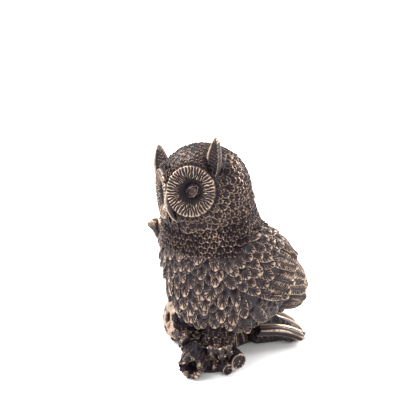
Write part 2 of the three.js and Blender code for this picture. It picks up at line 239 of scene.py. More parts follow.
# ---- Feathers ----
class FeatherForm:
    """One feather in its own units: across from -1 to 1, along from 0 at the root to 1 at the tip.

    Ridged barbs run from the shaft to the rim. The rim and the shaft stand up, the sides drop into
    the body, and the underside is closed, so each feather is a solid.
    """

    LATTICE_ACROSS = np.array([-1.0, 0.0, 1.0])
    LATTICE_ALONG = np.linspace(0, 1, 5)
    VANED = 0.3         # where the barbs root further up than this, the shaft is raised and rubbed

    # Rows of vertices from the shaft to the rim: how far out each lies, then how high and how rubbed
    # the barbs are there, and how much of the rim it is.
    REACH = np.array([0.05, 0.13, 0.5, 0.82, 0.94, 1.0])
    BARB = np.array([0.1, 0.6, 1.0, 0.8, 0.0, 0.0])
    BARB_WORN = np.array([0.0, 0.6, 0.82, 0.84, 0.0, 0.0])
    RIM = np.array([0.0, 0.0, 0.0, 0.1, 0.94, 0.3])

    # The buried skirt is drawn in a little from the rim.
    SKIRT_ACROSS, SKIRT_ALONG = 0.97, 0.985

    def __init__(self, barbs, shaft, length=1.35, shoulder=0.42, tip=2.1, ridge=0.16, rim=0.14,
                 waves=0.04, streaks=1.0):
        """Grows the barbs of one feather.

        barbs is how many there are on a side, shaft is how far up the shaft they root, and waves is
        how much they stray. length is the feather's length over its width, shoulder is where it is
        widest, and tip is how square its end is. ridge and rim are heights for a feather 5 mm wide,
        and streaks is how rubbed the barbs are.
        """
        sides = 2 * barbs
        vaned = shaft > self.VANED
        across, along = self.outline(sides, length, shoulder, tip)
        even = np.linspace(0, 1, sides + 1)
        root = shaft * even**1.15 + 0.02 * even
        phase = np.where(np.arange(sides + 1) % 2 == 1, 1.0, -1.0)
        phase[-1] = 1.0 if vaned else -1.0
        crest = np.where(phase > 0, 1.0, 0.0)
        bend = rng.normal(0, waves, (len(self.REACH), sides + 1)) * self.BARB[:, None]
        x, y = [np.zeros(sides + 1)], [root]
        h = [np.full(sides + 1, rim if vaned else rim * 0.1)]
        worn = [np.full(sides + 1, 0.85 if vaned else 0.2)]
        for k, reach in enumerate(self.REACH):
            x.append(across * reach)
            y.append(np.clip(mix(root, along, reach) + bend[k] * (along < 0.97), 0.0, 1.0))
            h.append(ridge * phase * self.BARB[k] + rim * self.RIM[k])
            worn.append(np.clip(streaks * self.BARB_WORN[k] * crest + self.RIM[k], 0, 1))
        self.build(sides, np.array(x), np.array(y), np.array(h), np.array(worn))

    @staticmethod
    def outline(sides, length, shoulder, tip):
        """Evenly spaced points up one side, from the root to the tip."""
        turn = np.linspace(0, math.pi / 2, 120)
        stem = np.linspace(0, shoulder, 40)[:-1]
        along = np.concatenate([stem, shoulder + (1 - shoulder) * np.sin(turn)])
        rise = np.clip((along - shoulder) / (1 - shoulder), 0, 1)
        across = np.where(along < shoulder, 0.62 + 0.38 * np.sin(along / shoulder * math.pi / 2),
                          (1 - rise**tip) ** (1 / tip))
        across[-1] = 0
        steps = np.hypot(np.diff(across) * 0.5, np.diff(along) * length)
        walked = np.concatenate([[0], np.cumsum(steps)])
        even = np.linspace(0, walked[-1], sides + 1)
        return np.interp(even, walked, across), np.interp(even, walked, along)

    def build(self, sides, x, y, h, worn):
        """Numbers the vertices and joins them. Level 0 is the shaft; the last row is the buried skirt."""
        levels = len(x)
        points, index = [], {}

        def add(key, px, py, ph, pw):
            index[key] = len(points)
            points.append((px, py, ph, pw))

        for i in range(sides + 1):
            add(("s", i), 0.0, y[0][i], h[0][i], worn[0][i])
        for sign in (1, -1):
            for i in range(sides + 1):
                if i == sides and sign == -1:
                    continue
                for k in range(1, levels):
                    add((sign, i, k), sign * x[k][i], y[k][i], h[k][i], worn[k][i])
                skirt = sign * x[-1][i] * self.SKIRT_ACROSS, y[-1][i] * self.SKIRT_ALONG
                add((sign, i, levels), *skirt, None, 0.0)
        add("under", 0.0, 0.5, None, 0.0)

        def at(sign, i, k):
            if k == 0:
                return index[("s", i)]
            return index[(1 if i == sides else sign, i, k)]

        quads, tris = [], []
        for sign in (1, -1):
            for i in range(sides):
                for k in range(levels):
                    quad = [at(sign, i, k), at(sign, i, k + 1), at(sign, i + 1, k + 1), at(sign, i + 1, k)]
                    quads.append(quad if sign == 1 else quad[::-1])
                edge = [at(sign, i, levels), index["under"], at(sign, i + 1, levels)]
                tris.append(edge if sign == 1 else edge[::-1])
        tris.append([at(1, 0, levels), at(-1, 0, levels), index["under"]])
        top = [at(-1, 0, k) for k in range(levels, 0, -1)] + [index[("s", 0)]]
        top += [at(1, 0, k) for k in range(1, levels + 1)]
        tris += [[top[0], top[j + 1], top[j]] for j in range(1, len(top) - 1)]
        self.across = np.array([p[0] for p in points])
        self.along = np.array([p[1] for p in points])
        self.buried = np.array([p[2] is None for p in points])
        self.height = np.array([0.0 if p[2] is None else p[2] for p in points])
        self.worn = np.array([p[3] for p in points])
        self.quads, self.tris = np.array(quads), np.array(tris)

    def weights(self):
        """How much each lattice point counts at each vertex."""
        x, y = self.across, self.along
        by_x = np.stack([x * (x - 1) / 2, 1 - x * x, x * (x + 1) / 2])
        nodes = self.LATTICE_ALONG
        by_y = []
        for j, node in enumerate(nodes):
            others = np.delete(nodes, j)
            by_y.append(np.prod([(y - o) / (node - o) for o in others], axis=0))
        return np.einsum("iv,jv->vij", by_x, np.array(by_y)).reshape(len(x), -1)


class Plumage:
    """Collects the places of many feathers, then builds them as one piece."""

    FORM_DRAW = 8           # the form of each feather is drawn from this many, taken in turn
    FORM_WIDTH = 5.0        # the heights in a FeatherForm are for a feather this wide
    DOME = 0.10             # how far a feather bulges, as a share of its width
    CREASE = 62.0           # degrees

    def __init__(self, surface):
        self.surface = surface
        self.sites = []

    def add(self, place, normal, direction, width, length, lift, sink, form=None):
        """Adds a feather rooted at place. lift is how far its tip stands off, and sink is how deep
        its root is buried."""
        if form is None:
            form = rng.integers(self.FORM_DRAW)
        self.sites.append((place, normal, tangent(direction, normal), width, length, lift, form, sink))

    def build(self, name, forms, material, slot, nodes, follow=0.34):
        """Makes the piece. follow is how closely the feathers cling to the surface."""
        verts, quads, tris, relief = [], [], [], []
        base = 0
        for number, form in enumerate(forms):
            chosen = [s for s in self.sites if s[6] % len(forms) == number]
            if not chosen:
                continue
            place, normal, ahead = (np.array([s[k] for s in chosen]) for k in range(3))
            sizes = (np.array([s[k] for s in chosen])[:, None] for k in (3, 4, 5, 7))
            width, length, lift, sink = sizes
            grid, normals = self.lattice(place, normal, ahead, width, length, follow)
            weights = form.weights()
            ground = np.einsum("vk,fkc->fvc", weights, grid)
            upward = unit(np.einsum("vk,fkc->fvc", weights, normals))
            scale = width / self.FORM_WIDTH
            dome = self.DOME * width * (1 - form.across**2)
            height = form.height * scale + lift * form.along**1.3 + dome * blend(0, 0.5, form.along)
            height = np.where(form.buried, lift * form.along - sink, height)
            made = ground + upward * height[:, :, None]
            count = len(form.across)
            offsets = base + np.arange(len(chosen))[:, None, None] * count
            quads.append((form.quads[None] + offsets).reshape(-1, 4))
            tris.append((form.tris[None] + offsets).reshape(-1, 3))
            verts.append(made.reshape(-1, 3))
            # Painted shade: each feather darkens towards its root, to 0.6 of its relief, where the feather
            # above overlaps it.
            worn = form.worn * mix(0.6, 1.0, blend(0.05, 0.45, form.along))
            relief.append(np.broadcast_to(worn, (len(chosen), count)).ravel())
            base += len(chosen) * count
        faces = [np.concatenate(quads), np.concatenate(tris)]
        make_piece(name, np.concatenate(verts), faces, material, nodes, np.concatenate(relief),
                   self.CREASE)

    def lattice(self, place, normal, ahead, width, length, follow):
        """Lays a small grid of points on the surface under every feather."""
        side = np.cross(ahead, normal)
        grids, normals = [], []
        for x in FeatherForm.LATTICE_ACROSS:
            for y in FeatherForm.LATTICE_ALONG:
                raw = place + side * (x * width / 2) + ahead * (y * length)
                near, facing = self.surface.nearest(raw)
                drop = near - raw
                limit = follow * y * length + 0.3 * abs(x) * width + 0.2
                size = np.linalg.norm(drop, axis=1, keepdims=True)
                share = np.minimum(1, limit / np.maximum(size, 1e-6))
                grids.append(raw + drop * share)
                trust = 0.7 * share
                normals.append(unit(facing * trust + normal * (1 - trust)))
        return np.stack(grids, axis=1), np.stack(normals, axis=1)


LONG_FEATHER = 14.0         # a feather longer than this covers three marks along its length
FILL_FLOOR = 24.0           # nothing is filled below this height
FILL_REACH = 9.6            # nor this far from every feather
FILL_LENGTH = 13.0          # the longest feather that fills a gap
FILL_COUNT = 1200           # the most feathers that are added


def fill_bare_patches(surface, groups, slack):
    """Adds feathers wherever the surface lies too far from the middle of any feather.

    groups are the plumages so far, and a larger slack leaves larger gaps alone. Each new feather
    copies the lie and size of its nearest one.
    """
    marks, sites = [], []
    for group in groups:
        for site in group.sites:
            for share in ((0.25, 0.5, 0.75) if site[4] > LONG_FEATHER else (0.55,)):
                marks.append(site[0] + site[2] * site[4] * share)
                sites.append((group, site))
    table = np.array(marks + [np.full(3, 1e6)] * FILL_COUNT)
    used = len(marks)
    for k in rng.permutation(len(surface.verts)):
        spot, normal = surface.verts[k], surface.normals[k]
        if used == len(table) or spot[2] < FILL_FLOOR or under_a_disc(spot):
            continue
        away = np.linalg.norm(table[:used] - spot, axis=1)
        nearest = int(np.argmin(away))
        group, (_, _, lie, width, length, lift, _, sink) = sites[nearest]
        gap = max(2.2 if width < 3.6 else 3.6, min(0.36 * length + 0.6, 4.9))
        if not slack * gap < away[nearest] < FILL_REACH:
            continue
        ahead = turned(tangent(lie, normal), normal, rng.normal(0, 0.15))
        length = min(length, FILL_LENGTH)
        near, facing = surface.nearest([spot - ahead * length * 0.55])
        group.add(near[0], facing[0], ahead, width, length, lift, sink)
        sites.append((group, group.sites[-1]))
        table[used] = spot
        used += 1


def under_a_disc(point):
    """Whether a facial disc hides this point of the head."""
    out = point - head.centre
    close = min(angle_between(unit(out), head.gaze(side)) for side in SIDES.values()) < DISC_COVER
    return close and np.linalg.norm(out) < HEAD_REACH


def forms_of(count, **shape):
    """A few feathers of one kind that differ in the lie of their barbs."""
    return [FeatherForm(**shape) for _ in range(count)]


# ---- Materials ----
def node_tree(name):
    material = bpy.data.materials.new(name)
    material.use_nodes = True
    tree = material.node_tree
    return material, tree, tree.nodes["Principled BSDF"]


def link(tree, source, target):
    tree.links.new(source, target)


def noise_node(tree, scale, detail=4.0, roughness=0.55):
    coords = tree.nodes.new("ShaderNodeTexCoord")
    texture = tree.nodes.new("ShaderNodeTexNoise")
    texture.inputs["Scale"].default_value = scale
    texture.inputs["Detail"].default_value = detail
    texture.inputs["Roughness"].default_value = roughness
    link(tree, coords.outputs["Object"], texture.inputs["Vector"])
    return texture


def ramp_node(tree, source, stops):
    ramp = tree.nodes.new("ShaderNodeValToRGB")
    elements = ramp.color_ramp.elements
    while len(elements) < len(stops):
        elements.new(0.5)
    for element, (position, colour) in zip(elements, stops):
        element.position = position
        element.color = (*colour, 1.0) if isinstance(colour, tuple) else (colour, colour, colour, 1.0)
    link(tree, source, ramp.inputs["Fac"])
    return ramp


def math_node(tree, operation, *values):
    """A Math node whose inputs are numbers or other nodes' sockets."""
    node = tree.nodes.new("ShaderNodeMath")
    node.operation = operation
    for socket, value in zip(node.inputs, values):
        if isinstance(value, (int, float)):
            socket.default_value = value
        else:
            link(tree, value, socket)
    return node.outputs[0]


def bump_node(tree, shader, height, strength, distance):
    bump = tree.nodes.new("ShaderNodeBump")
    bump.inputs["Strength"].default_value = strength
    bump.inputs["Distance"].default_value = distance
    link(tree, height, bump.inputs["Height"])
    link(tree, bump.outputs["Normal"], shader.inputs["Normal"])


RECESS = (0.010, 0.006, 0.009)
PATINA = (0.028, 0.018, 0.021)
SHADE_DARKENED_PATINA = (0.014, 0.009, 0.011)         # the patina darkened as painted shade, where small feathers lie close together
RUBBED = (0.200, 0.138, 0.104)
BRIGHT = (0.480, 0.355, 0.265)


def bronze(name, patina=PATINA, lift=0.0, gloss=0.3, recess=RECESS):
    """Antique bronze: near-black recesses, brown patina, and tan metal where ridges are rubbed.

    A higher lift makes the whole piece lighter and a lower one darker; the neck, crown, cheek and
    under-layer use it as painted shade, and the wood as painted light.
    """
    material, tree, shader = node_tree(name)
    relief = tree.nodes.new("ShaderNodeAttribute")
    relief.attribute_name = "relief"
    patches = noise_node(tree, 95.0, 3.0)
    grain = noise_node(tree, 900.0, 2.0)
    # uneven is random patches of patina plus the lift, which carries the whole piece's painted shade and
    # painted light.
    uneven = math_node(tree, "MULTIPLY_ADD", patches.outputs["Fac"], 0.5, lift - 0.25)
    speckle = math_node(tree, "MULTIPLY_ADD", grain.outputs["Fac"], 0.5, -0.25)
    wear = math_node(tree, "ADD", relief.outputs["Fac"], uneven)
    wear = math_node(tree, "ADD", wear, speckle)
    ramp = ramp_node(tree, wear, [(0.25, recess), (0.6, patina), (0.86, RUBBED), (1.04, BRIGHT)])
    link(tree, ramp.outputs["Color"], shader.inputs["Base Color"])
    rough = ramp_node(tree, wear, [(0.1, 0.62), (0.55, 0.46), (0.95, 0.34)])
    link(tree, rough.outputs["Color"], shader.inputs["Roughness"])
    metal = ramp_node(tree, wear, [(0.3, 0.0), (0.85, 0.8)])
    link(tree, metal.outputs["Color"], shader.inputs["Metallic"])
    shader.inputs["Specular IOR Level"].default_value = gloss
    bump_node(tree, shader, grain.outputs["Fac"], 0.25, 0.00012)
    return material


def polish(material, roughness):
    """Gives a bronze an even gloss, as on the eyeballs."""
    shader = material.node_tree.nodes["Principled BSDF"]
    for socket, value in (("Roughness", roughness), ("Metallic", 0.75)):
        material.node_tree.links.remove(shader.inputs[socket].links[0])
        shader.inputs[socket].default_value = value


feather_bronze = bronze("feather_bronze")
# Painted light: the wood bronze's lift of 0.08 lightens all the wood, for the wood that lies in shadow under
# the figure.
wood_bronze = bronze("wood_bronze", PATINA, 0.08)
foot_bronze = bronze("foot_bronze", PATINA, 0.03)
# Painted shade: the crown, cheek and neck bronzes are darker copies of the bronze, with the darkened patina
# and a lower lift, for the shade between small close-set feathers.
crown_shaded_bronze = bronze("crown_shaded_bronze", SHADE_DARKENED_PATINA, -0.17, 0.08)
cheek_shaded_bronze = bronze("cheek_shaded_bronze", SHADE_DARKENED_PATINA, -0.08, 0.12)
neck_shaded_bronze = bronze("neck_shaded_bronze", SHADE_DARKENED_PATINA, -0.14, 0.06)
leaf_bronze = bronze("leaf_bronze", SHADE_DARKENED_PATINA, 0.04, 0.15)
flight_bronze = bronze("flight_bronze", PATINA, 0.1)
# Painted shade: the under-layer, beneath the breast feathers, is darkened as a whole by a lift of -0.2.
under_shaded_bronze = bronze("under_shaded_bronze", PATINA, -0.2)
eye_bronze = bronze("eye_bronze", (0.10, 0.072, 0.066), recess=(0.05, 0.035, 0.034))
polish(eye_bronze, 0.22)


def plain(name, colour, roughness, grain_scale, bump):
    material, tree, shader = node_tree(name)
    grain = noise_node(tree, grain_scale)
    pale = tuple(min(1.0, c * 1.35) for c in colour)
    ramp = ramp_node(tree, grain.outputs["Fac"], [(0.3, colour), (0.7, pale)])
    link(tree, ramp.outputs["Color"], shader.inputs["Base Color"])
    shader.inputs["Roughness"].default_value = roughness
    bump_node(tree, shader, grain.outputs["Fac"], 0.5, bump)
    return material


filler_stone = plain("filler_stone", (0.42, 0.38, 0.32), 0.9, 400.0, 0.0003)
plug_resin = plain("plug_resin", (0.03, 0.027, 0.024), 0.55, 500.0, 0.0001)
felt = plain("felt_nap", (0.02, 0.019, 0.018), 1.0, 1800.0, 0.0003)
felt.node_tree.nodes["Principled BSDF"].inputs["Sheen Weight"].default_value = 0.4


def finish_hidden_nodes():
    """The pieces inside and underneath keep their CAD shapes and get real finishes."""
    for node, material in (("head_filler", filler_stone), ("body_filler", filler_stone),
                           ("base_plug", plug_resin), ("felt_pad", felt)):
        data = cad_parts[node].data
        data.materials.clear()
        data.materials.append(material)


# ---- The surfaces that everything is laid on ----
CASTINGS = ["head_shell", "body_shell", "left_wing", "right_wing"]
bird = Surface(CASTINGS + ["left_facial_disc", "right_facial_disc"], 1.0, 12, -0.4)
castings = Castings(CASTINGS)


# ---- The head's own frame, from the two eyes ----
class Head:
    def __init__(self):
        left, right = middle("left_eye"), middle("right_eye")
        self.x = unit(left - right)
        self.y = np.array([0.0, 1.0, 0.0])
        self.z = np.cross(self.x, self.y)
        ahead = EYE_DISTANCE * math.cos(DISC_TURN) * math.cos(DISC_RISE)
        rise = EYE_DISTANCE * math.sin(DISC_RISE)
        self.centre = (left + right) / 2 + self.y * ahead - self.z * rise

    def out(self, x, y, z):
        """A direction or offset given in the head's frame."""
        return self.x * x + self.y * y + self.z * z

    def spoke(self, polar, turn):
        """A direction polar away from straight ahead, and turned from the crown."""
        flat = math.sin(polar)
        return self.out(flat * math.sin(turn), -math.cos(polar), flat * math.cos(turn))

    def gaze(self, side):
        """The line of sight of one eye."""
        flat = math.cos(DISC_RISE)
        return self.out(side * math.sin(DISC_TURN) * flat, -math.cos(DISC_TURN) * flat,
                        math.sin(DISC_RISE))

    def frame_of(self, gaze):
        """Two directions square to a gaze: above it and across it."""
        above = tangent(self.z, gaze)
        return above, np.cross(above, gaze)


head = Head()


# ---- Skins under the feathers ----
def add_skins():
    for name, node in (("head_skin", "head_shell"), ("body_skin", "body_shell"),
                       ("left_wing_skin", "left_wing"), ("right_wing_skin", "right_wing"),
                       ("left_thigh_skin", "left_thigh"), ("right_thigh_skin", "right_thigh")):
        skin = Surface([node], 0.9, 4, -0.15)
        relief = 0.12 + 0.1 * fractal(skin.verts, 3.0)
        make_piece(name, skin.verts, quads_of(skin.faces), feather_bronze, [node], relief)


# ---- Head feathers ----
DISC_COVER = math.radians(34.5)      # the facial disc hides the head this far from the gaze
DISC_BORDERS = (                     # rows round the disc: root in degrees, width, length, lift
    (31.8, 2.6, 4.0, 0.9),
    (30.0, 2.2, 2.9, 1.3),
)
BORDER_COUNT = 36
HEAD_REACH = 25.0                    # the head ends this far from its centre
HEAD_ROWS = math.radians(16), math.radians(170), math.radians(5.7)      # first, last and step
CHEEK_WIDTH, CROWN_WIDTH = 4.7, 1.5
CROWN_SHARE = 0.45                   # above this a place is covered by the crown's small grains


def head_row(polar):
    """Places round one row of the head: turn, feather width, and how much of the crown it is."""
    places, around = [], 0.0
    while around < 2 * math.pi:
        upness = blend(0.25, 0.85, math.cos(around)) * blend(150, 95, math.degrees(polar))
        width = mix(CHEEK_WIDTH, CROWN_WIDTH, upness)
        places.append((around, width, upness))
        around += 0.84 * width / (HEAD_RADIUS * max(math.sin(polar), 0.15))
    return places


def head_feathers():
    """Rows spread from between the eyes, over the crown and cheeks, to the nape."""
    crown, cheeks = Plumage(bird), Plumage(bird)
    gazes = [head.gaze(side) for side in SIDES.values()]
    polar, last, pitch = HEAD_ROWS
    row = 0
    while polar < last:
        places = head_row(polar)
        ends = [place[0] for place in places[1:]] + [2 * math.pi]
        for (around, width, upness), end in zip(places, ends):
            turn = around + (end - around) * (0.5 * (row % 2)) + rng.normal(0, 0.02)
            spoke = head.spoke(polar, turn)
            if min(angle_between(spoke, gaze) for gaze in gazes) < DISC_COVER:
                continue
            place, normal = bird.from_outside(head.centre, spoke)
            if place is None or castings.owner(place) != "head_shell":
                continue
            flat = math.cos(polar)
            away = head.out(flat * math.sin(turn), math.sin(polar), flat * math.cos(turn))
            nearest = max(gazes, key=lambda g: spoke @ g)
            from_disc = tangent(spoke - nearest, spoke)
            near = blend(58, 36, math.degrees(angle_between(spoke, nearest)))
            ahead = mix(away, from_disc, 0.75 * near) + np.array([0, 0, -0.35]) * (1 - upness)
            ahead = turned(unit(ahead), normal, rng.normal(0, 0.1 + 0.18 * upness))
            size = width * rng.uniform(0.88, 1.15)
            if upness > CROWN_SHARE:
                crown.add(place, normal, ahead, size, size * 2.0, rng.uniform(0.35, 0.7), 0.5)
            else:
                cheeks.add(place, normal, ahead, size, size * 1.2, rng.uniform(0.6, 1.0), 0.5)
        polar += pitch
        row += 1
    border_of_discs(cheeks, gazes)
    grains = forms_of(4, barbs=2, shaft=0.5, length=1.9, shoulder=0.4, tip=1.7, ridge=0.14, rim=0.2)
    scallops = forms_of(4, barbs=4, shaft=0.05, length=1.2, shoulder=0.35, tip=2.3, ridge=0.15,
                        rim=0.3, streaks=0.86)
    return [(crown, "crown_feathers", grains, crown_shaded_bronze, ["head_shell"]),
            (cheeks, "cheek_feathers", scallops, cheek_shaded_bronze, ["head_shell"])]


def border_of_discs(plumage, gazes):
    """Rows of small scallops that point away from each disc, just outside its rim."""
    for gaze, other in (gazes, gazes[::-1]):
        above, across = head.frame_of(gaze)
        for root, width, length, lift in DISC_BORDERS:
            for turn in np.arange(0, 2 * math.pi, 2 * math.pi / BORDER_COUNT):
                turn += rng.normal(0, 0.03)
                rim = above * math.cos(turn) + across * math.sin(turn)
                spoke = gaze * math.cos(math.radians(root)) + rim * math.sin(math.radians(root))
                if angle_between(spoke, other) < DISC_COVER:
                    continue
                place, normal = bird.from_outside(head.centre, spoke)
                if place is not None:
                    size = rng.uniform(0.85, 1.15)
                    plumage.add(place, normal, rim, width * size, length * size, lift, 1.0)


# ---- Body feathers ----
BODY_TURN_HEIGHT = 34.0     # below this the rows curl under the belly
BODY_TURN_RADIUS = 26.0
BODY_CENTRE_TOP = 78.0      # above this the rows keep the centre they have here
NECK_ROWS = 84.0, 63.0, 2.35            # top, bottom and pitch of the rows
UNDER_ROWS = 65.0, -8.0, 3.7
BREAST_ROWS = 63.5, -7.0, 5.2


def body_centre(z):
    """The middle of the body casting at a height."""
    tree = castings.trees["body_shell"]
    front = tree.ray_cast(Vector((BODY_X, -120, z)), Vector((0, 1, 0)))[0]
    back = tree.ray_cast(Vector((BODY_X, 120, z)), Vector((0, -1, 0)))[0]
    return np.array([BODY_X, (front.y + back.y) / 2, z])


BODY_X = middle("body_shell")[0]


def breast_width(z):
    """The width of the breast feathers, which grow towards the belly."""
    return float(np.interp(z, [30, 42, 62], [6.4, 6.2, 4.9]))


def body_feathers():
    """Knitted rows on the neck. Below them a flat under-layer, then larger feathers that stand out."""
    neck, under, over, coverts = (Plumage(bird) for _ in range(4))
    for place, normal, ahead, width, _ in body_rows(*NECK_ROWS, lambda z: 4.3):
        place = place + UP * 1.1 * noise.noise(Vector(place) / 5.0)
        stand = rng.uniform(0.75, 1.0) * mix(0.1, 1.0, blend(85, 77, place[2]))
        ahead = turned(ahead, normal, rng.normal(0, 0.08))
        neck.add(place, normal, ahead, width * 1.12, width * 0.95, stand, 0.6)
    for place, normal, ahead, width, _ in body_rows(*UNDER_ROWS, lambda z: 4.8):
        ahead = turned(ahead, normal, rng.normal(0, 0.12))
        under.add(place, normal, ahead, width, width * 1.3, 0.45, 0.8)
    for number, site in enumerate(body_rows(*BREAST_ROWS, breast_width, 1.08), 1):
        place, normal, ahead, width, turn = site
        place = place + tangent(UP, normal) * rng.uniform(-1.9, 1.9)
        place = place + np.cross(UP, normal) * rng.normal(0, 0.7)
        ahead = turned(ahead, normal, rng.normal(0, 0.2))
        winged = blend(0.75, 0.3, math.cos(turn)) * blend(64, 54, place[2])
        low_wing = winged * blend(58, 46, place[2])
        if low_wing > 0.5 and number % 2:
            continue
        size = width * rng.uniform(0.78, 1.08) * (1 + 0.2 * winged + 0.1 * low_wing)
        long = rng.uniform(1.3, 1.55) * (1 + 1.0 * low_wing)
        group = coverts if winged > 0.5 else over
        group.add(place + normal * 0.15, normal, ahead, size * 0.9, size * long, rng.uniform(1.3, 1.9), 1.3)
    knit = forms_of(4, barbs=3, shaft=0.05, length=0.9, shoulder=0.3, tip=2.8, ridge=0.2, rim=0.26)
    flat = forms_of(4, barbs=6, shaft=0.1, length=1.3, shoulder=0.4, tip=2.2, ridge=0.2, rim=0.1)
    full = forms_of(8, barbs=6, shaft=0.5, length=1.45, ridge=0.2, rim=0.2, waves=0.05)
    vane = forms_of(6, barbs=10, shaft=0.85, length=2.2, shoulder=0.45, tip=2.0, ridge=0.2, rim=0.2)
    return [(neck, "neck_feathers", knit, neck_shaded_bronze, ["body_shell"]),
            (over, "breast_feathers", full, feather_bronze, ["body_shell"]),
            (coverts, "flank_feathers", vane, feather_bronze, ["body_shell"]),
            (under, "under_feathers", flat, under_shaded_bronze, ["body_shell"])]


def body_rows(top, bottom, pitch, width_at, spacing=0.9):
    """Staggered rings of places on the body casting; below the belly's bulge the rings curl under.

    Gives each place with its normal, the lie of a feather there, its width, and its turn.
    """
    walked, row = 0.0, 0
    while top - walked > bottom:
        height = top - walked
        dip = max(0.0, (BODY_TURN_HEIGHT - height) / BODY_TURN_RADIUS)
        if dip > math.radians(76):
            break
        z = max(height, BODY_TURN_HEIGHT)
        width = width_at(z)
        centre = body_centre(min(z, BODY_CENTRE_TOP))
        centre[2] = z
        radius = 25.0 if z < 62 else 23.0
        count = max(8, round(2 * math.pi * radius * max(math.cos(dip), 0.3) / (spacing * width)))
        for angle in staggered(count, row):
            turn = angle + rng.normal(0, 0.1) * width / radius
            place, normal = bird.from_outside(centre, spoke_at(turn, -dip))
            if place is None or castings.owner(place) != "body_shell":
                continue
            sweep = blend(0.95, 0.2, math.cos(turn)) * blend(66, 50, z)
            ahead = tangent(unit(mix(-UP, WING_AHEAD, 0.85 * sweep)), normal)
            yield place, normal, ahead, width, turn
        walked += pitch
        row += 1


def nape_row(plumage):
    """One row of scallops that covers the join between head and neck, round the back."""
    for k, turn in enumerate(np.radians(np.arange(75, 286, 10))):
        for z in np.arange(92.0, BODY_CENTRE_TOP, -0.5):
            centre = body_centre(BODY_CENTRE_TOP) + UP * (z - BODY_CENTRE_TOP)
            place, _ = bird.from_outside(centre, spoke_at(turn))
            if place is not None and castings.owner(place) == "body_shell":
                near, facing = bird.nearest([place + UP * 0.8])
                plumage.add(near[0], facing[0], -UP, 4.7, 4.4, 0.9, 0.6, form=k)
                break


# ---- Wings ----
WING_AHEAD = np.array([0.0, math.cos(WING_DROOP), -math.sin(WING_DROOP)])
WING_REACH = 60.0
WING_ROWS = (        # each row: how far along the wing it roots, feather width and length, spacing in widths
    (-22.5, 5.4, 8.0, 0.86),
    (-18.0, 6.0, 10.5, 0.9),
    (-13.5, 6.4, 27.0, 0.72),
    (3.0, 6.0, 28.0, 0.7),
    (19.0, 5.4, 19.0, 0.7),
)
FLIGHT_LENGTH = 15.0        # a feather longer than this is a flight feather
CAP_TILTS = 20, 38, 56, 76  # degrees


def wing_cap(coverts, core, outward, upward, node):
    """Curls the rows of coverts over the shoulder, where the wing's front end is a dome."""
    for row, tilt in enumerate(np.radians(CAP_TILTS)):
        for angle in staggered(max(6, round(28 * math.cos(tilt))), row):
            turn = angle + rng.normal(0, 0.05)
            spoke = (outward * math.cos(turn) + upward * math.sin(turn)) * math.cos(tilt)
            spoke = spoke - WING_AHEAD * math.sin(tilt)
            place, normal = bird.from_outside(core - WING_AHEAD * 20.0, spoke, WING_REACH)
            if place is None or castings.owner(place) != node:
                continue
            ahead = turned(tangent(WING_AHEAD, normal), normal, rng.normal(0, 0.15))
            size = rng.uniform(0.85, 1.1)
            coverts.add(place, normal, ahead, 5.2 * size, 7.2 * size, rng.uniform(1.4, 2.4), 1.1)


def wing_feathers(word, side):
    """Scalloped coverts over the shoulder, growing to long flight feathers at the tip."""
    coverts, flights = Plumage(bird), Plumage(bird)
    node = f"{word}_wing"
    low, high = box_mm(node)
    core = np.array([side * 11.0 + BODY_X, (low[1] + high[1]) / 2, (low[2] + high[2]) / 2 + 1.5])
    outward, upward = np.array([float(side), 0, 0]), unit(np.cross([1.0, 0, 0], WING_AHEAD))
    wing_cap(coverts, core, outward, upward, node)
    for row, (place_along, width, length, spacing) in enumerate(WING_ROWS):
        flight = length > FLIGHT_LENGTH
        group = flights if flight else coverts
        stray, sway, low_stand = (3.0, 0.05, 1.3) if flight else (1.2, 0.16, 1.4)
        centre = core + WING_AHEAD * place_along
        radius = 17.5 if place_along < 0 else mix(17.5, 9.0, blend(0, 32, place_along))
        tuck = 10 * blend(-10, -22, place_along)
        for angle in staggered(round(2 * math.pi * radius / (spacing * width)), row):
            turn = angle + rng.normal(0, 0.04)
            spoke = outward * math.cos(turn) + upward * math.sin(turn)
            start = centre + WING_AHEAD * rng.uniform(-stray, stray)
            place, normal = bird.from_outside(start, spoke, WING_REACH)
            if place is None or castings.owner(place) != node:
                continue
            droop = math.radians(mix(22, 31, blend(-0.9, 0.9, upward @ spoke)) + tuck)
            ahead = np.array([0.0, math.cos(droop), -math.sin(droop)])
            ahead = turned(tangent(ahead, normal), normal, rng.normal(0, sway))
            size = rng.uniform(0.88, 1.1)
            stand = rng.uniform(low_stand, 2.2)
            group.add(place, normal, ahead, width * size, length * size, stand, 1.3)
    short = forms_of(5, barbs=7, shaft=0.7, length=1.45, shoulder=0.45, ridge=0.2, rim=0.2)
    long = forms_of(6, barbs=14, shaft=0.93, length=3.9, shoulder=0.82, tip=2.0, ridge=0.32, rim=0.32,
                    waves=0.015)
    return [(coverts, f"{word}_wing_coverts", short, feather_bronze, [node]),
            (flights, f"{word}_wing_flights", long, flight_bronze, [node])]


def lay_feathers():
    """Places every feather, closes the bare patches between the groups, then builds the pieces."""
    coats = head_feathers() + body_feathers()
    for word, side in SIDES.items():
        coats += wing_feathers(word, side)
    fill_bare_patches(bird, [coat[0] for coat in coats if coat[1] != "under_feathers"], 1.4)
    fill_bare_patches(bird, [coat[0] for coat in coats], 1.0)
    nape_row(next(coat[0] for coat in coats if coat[1] == "neck_feathers"))
    for plumage, name, forms, material, nodes in coats:
        follow = 0.3 if "flights" in name else 0.7 if "cheek" in name else 0.34
        plumage.build(name, forms, material, "bronze_feathers", nodes, follow)


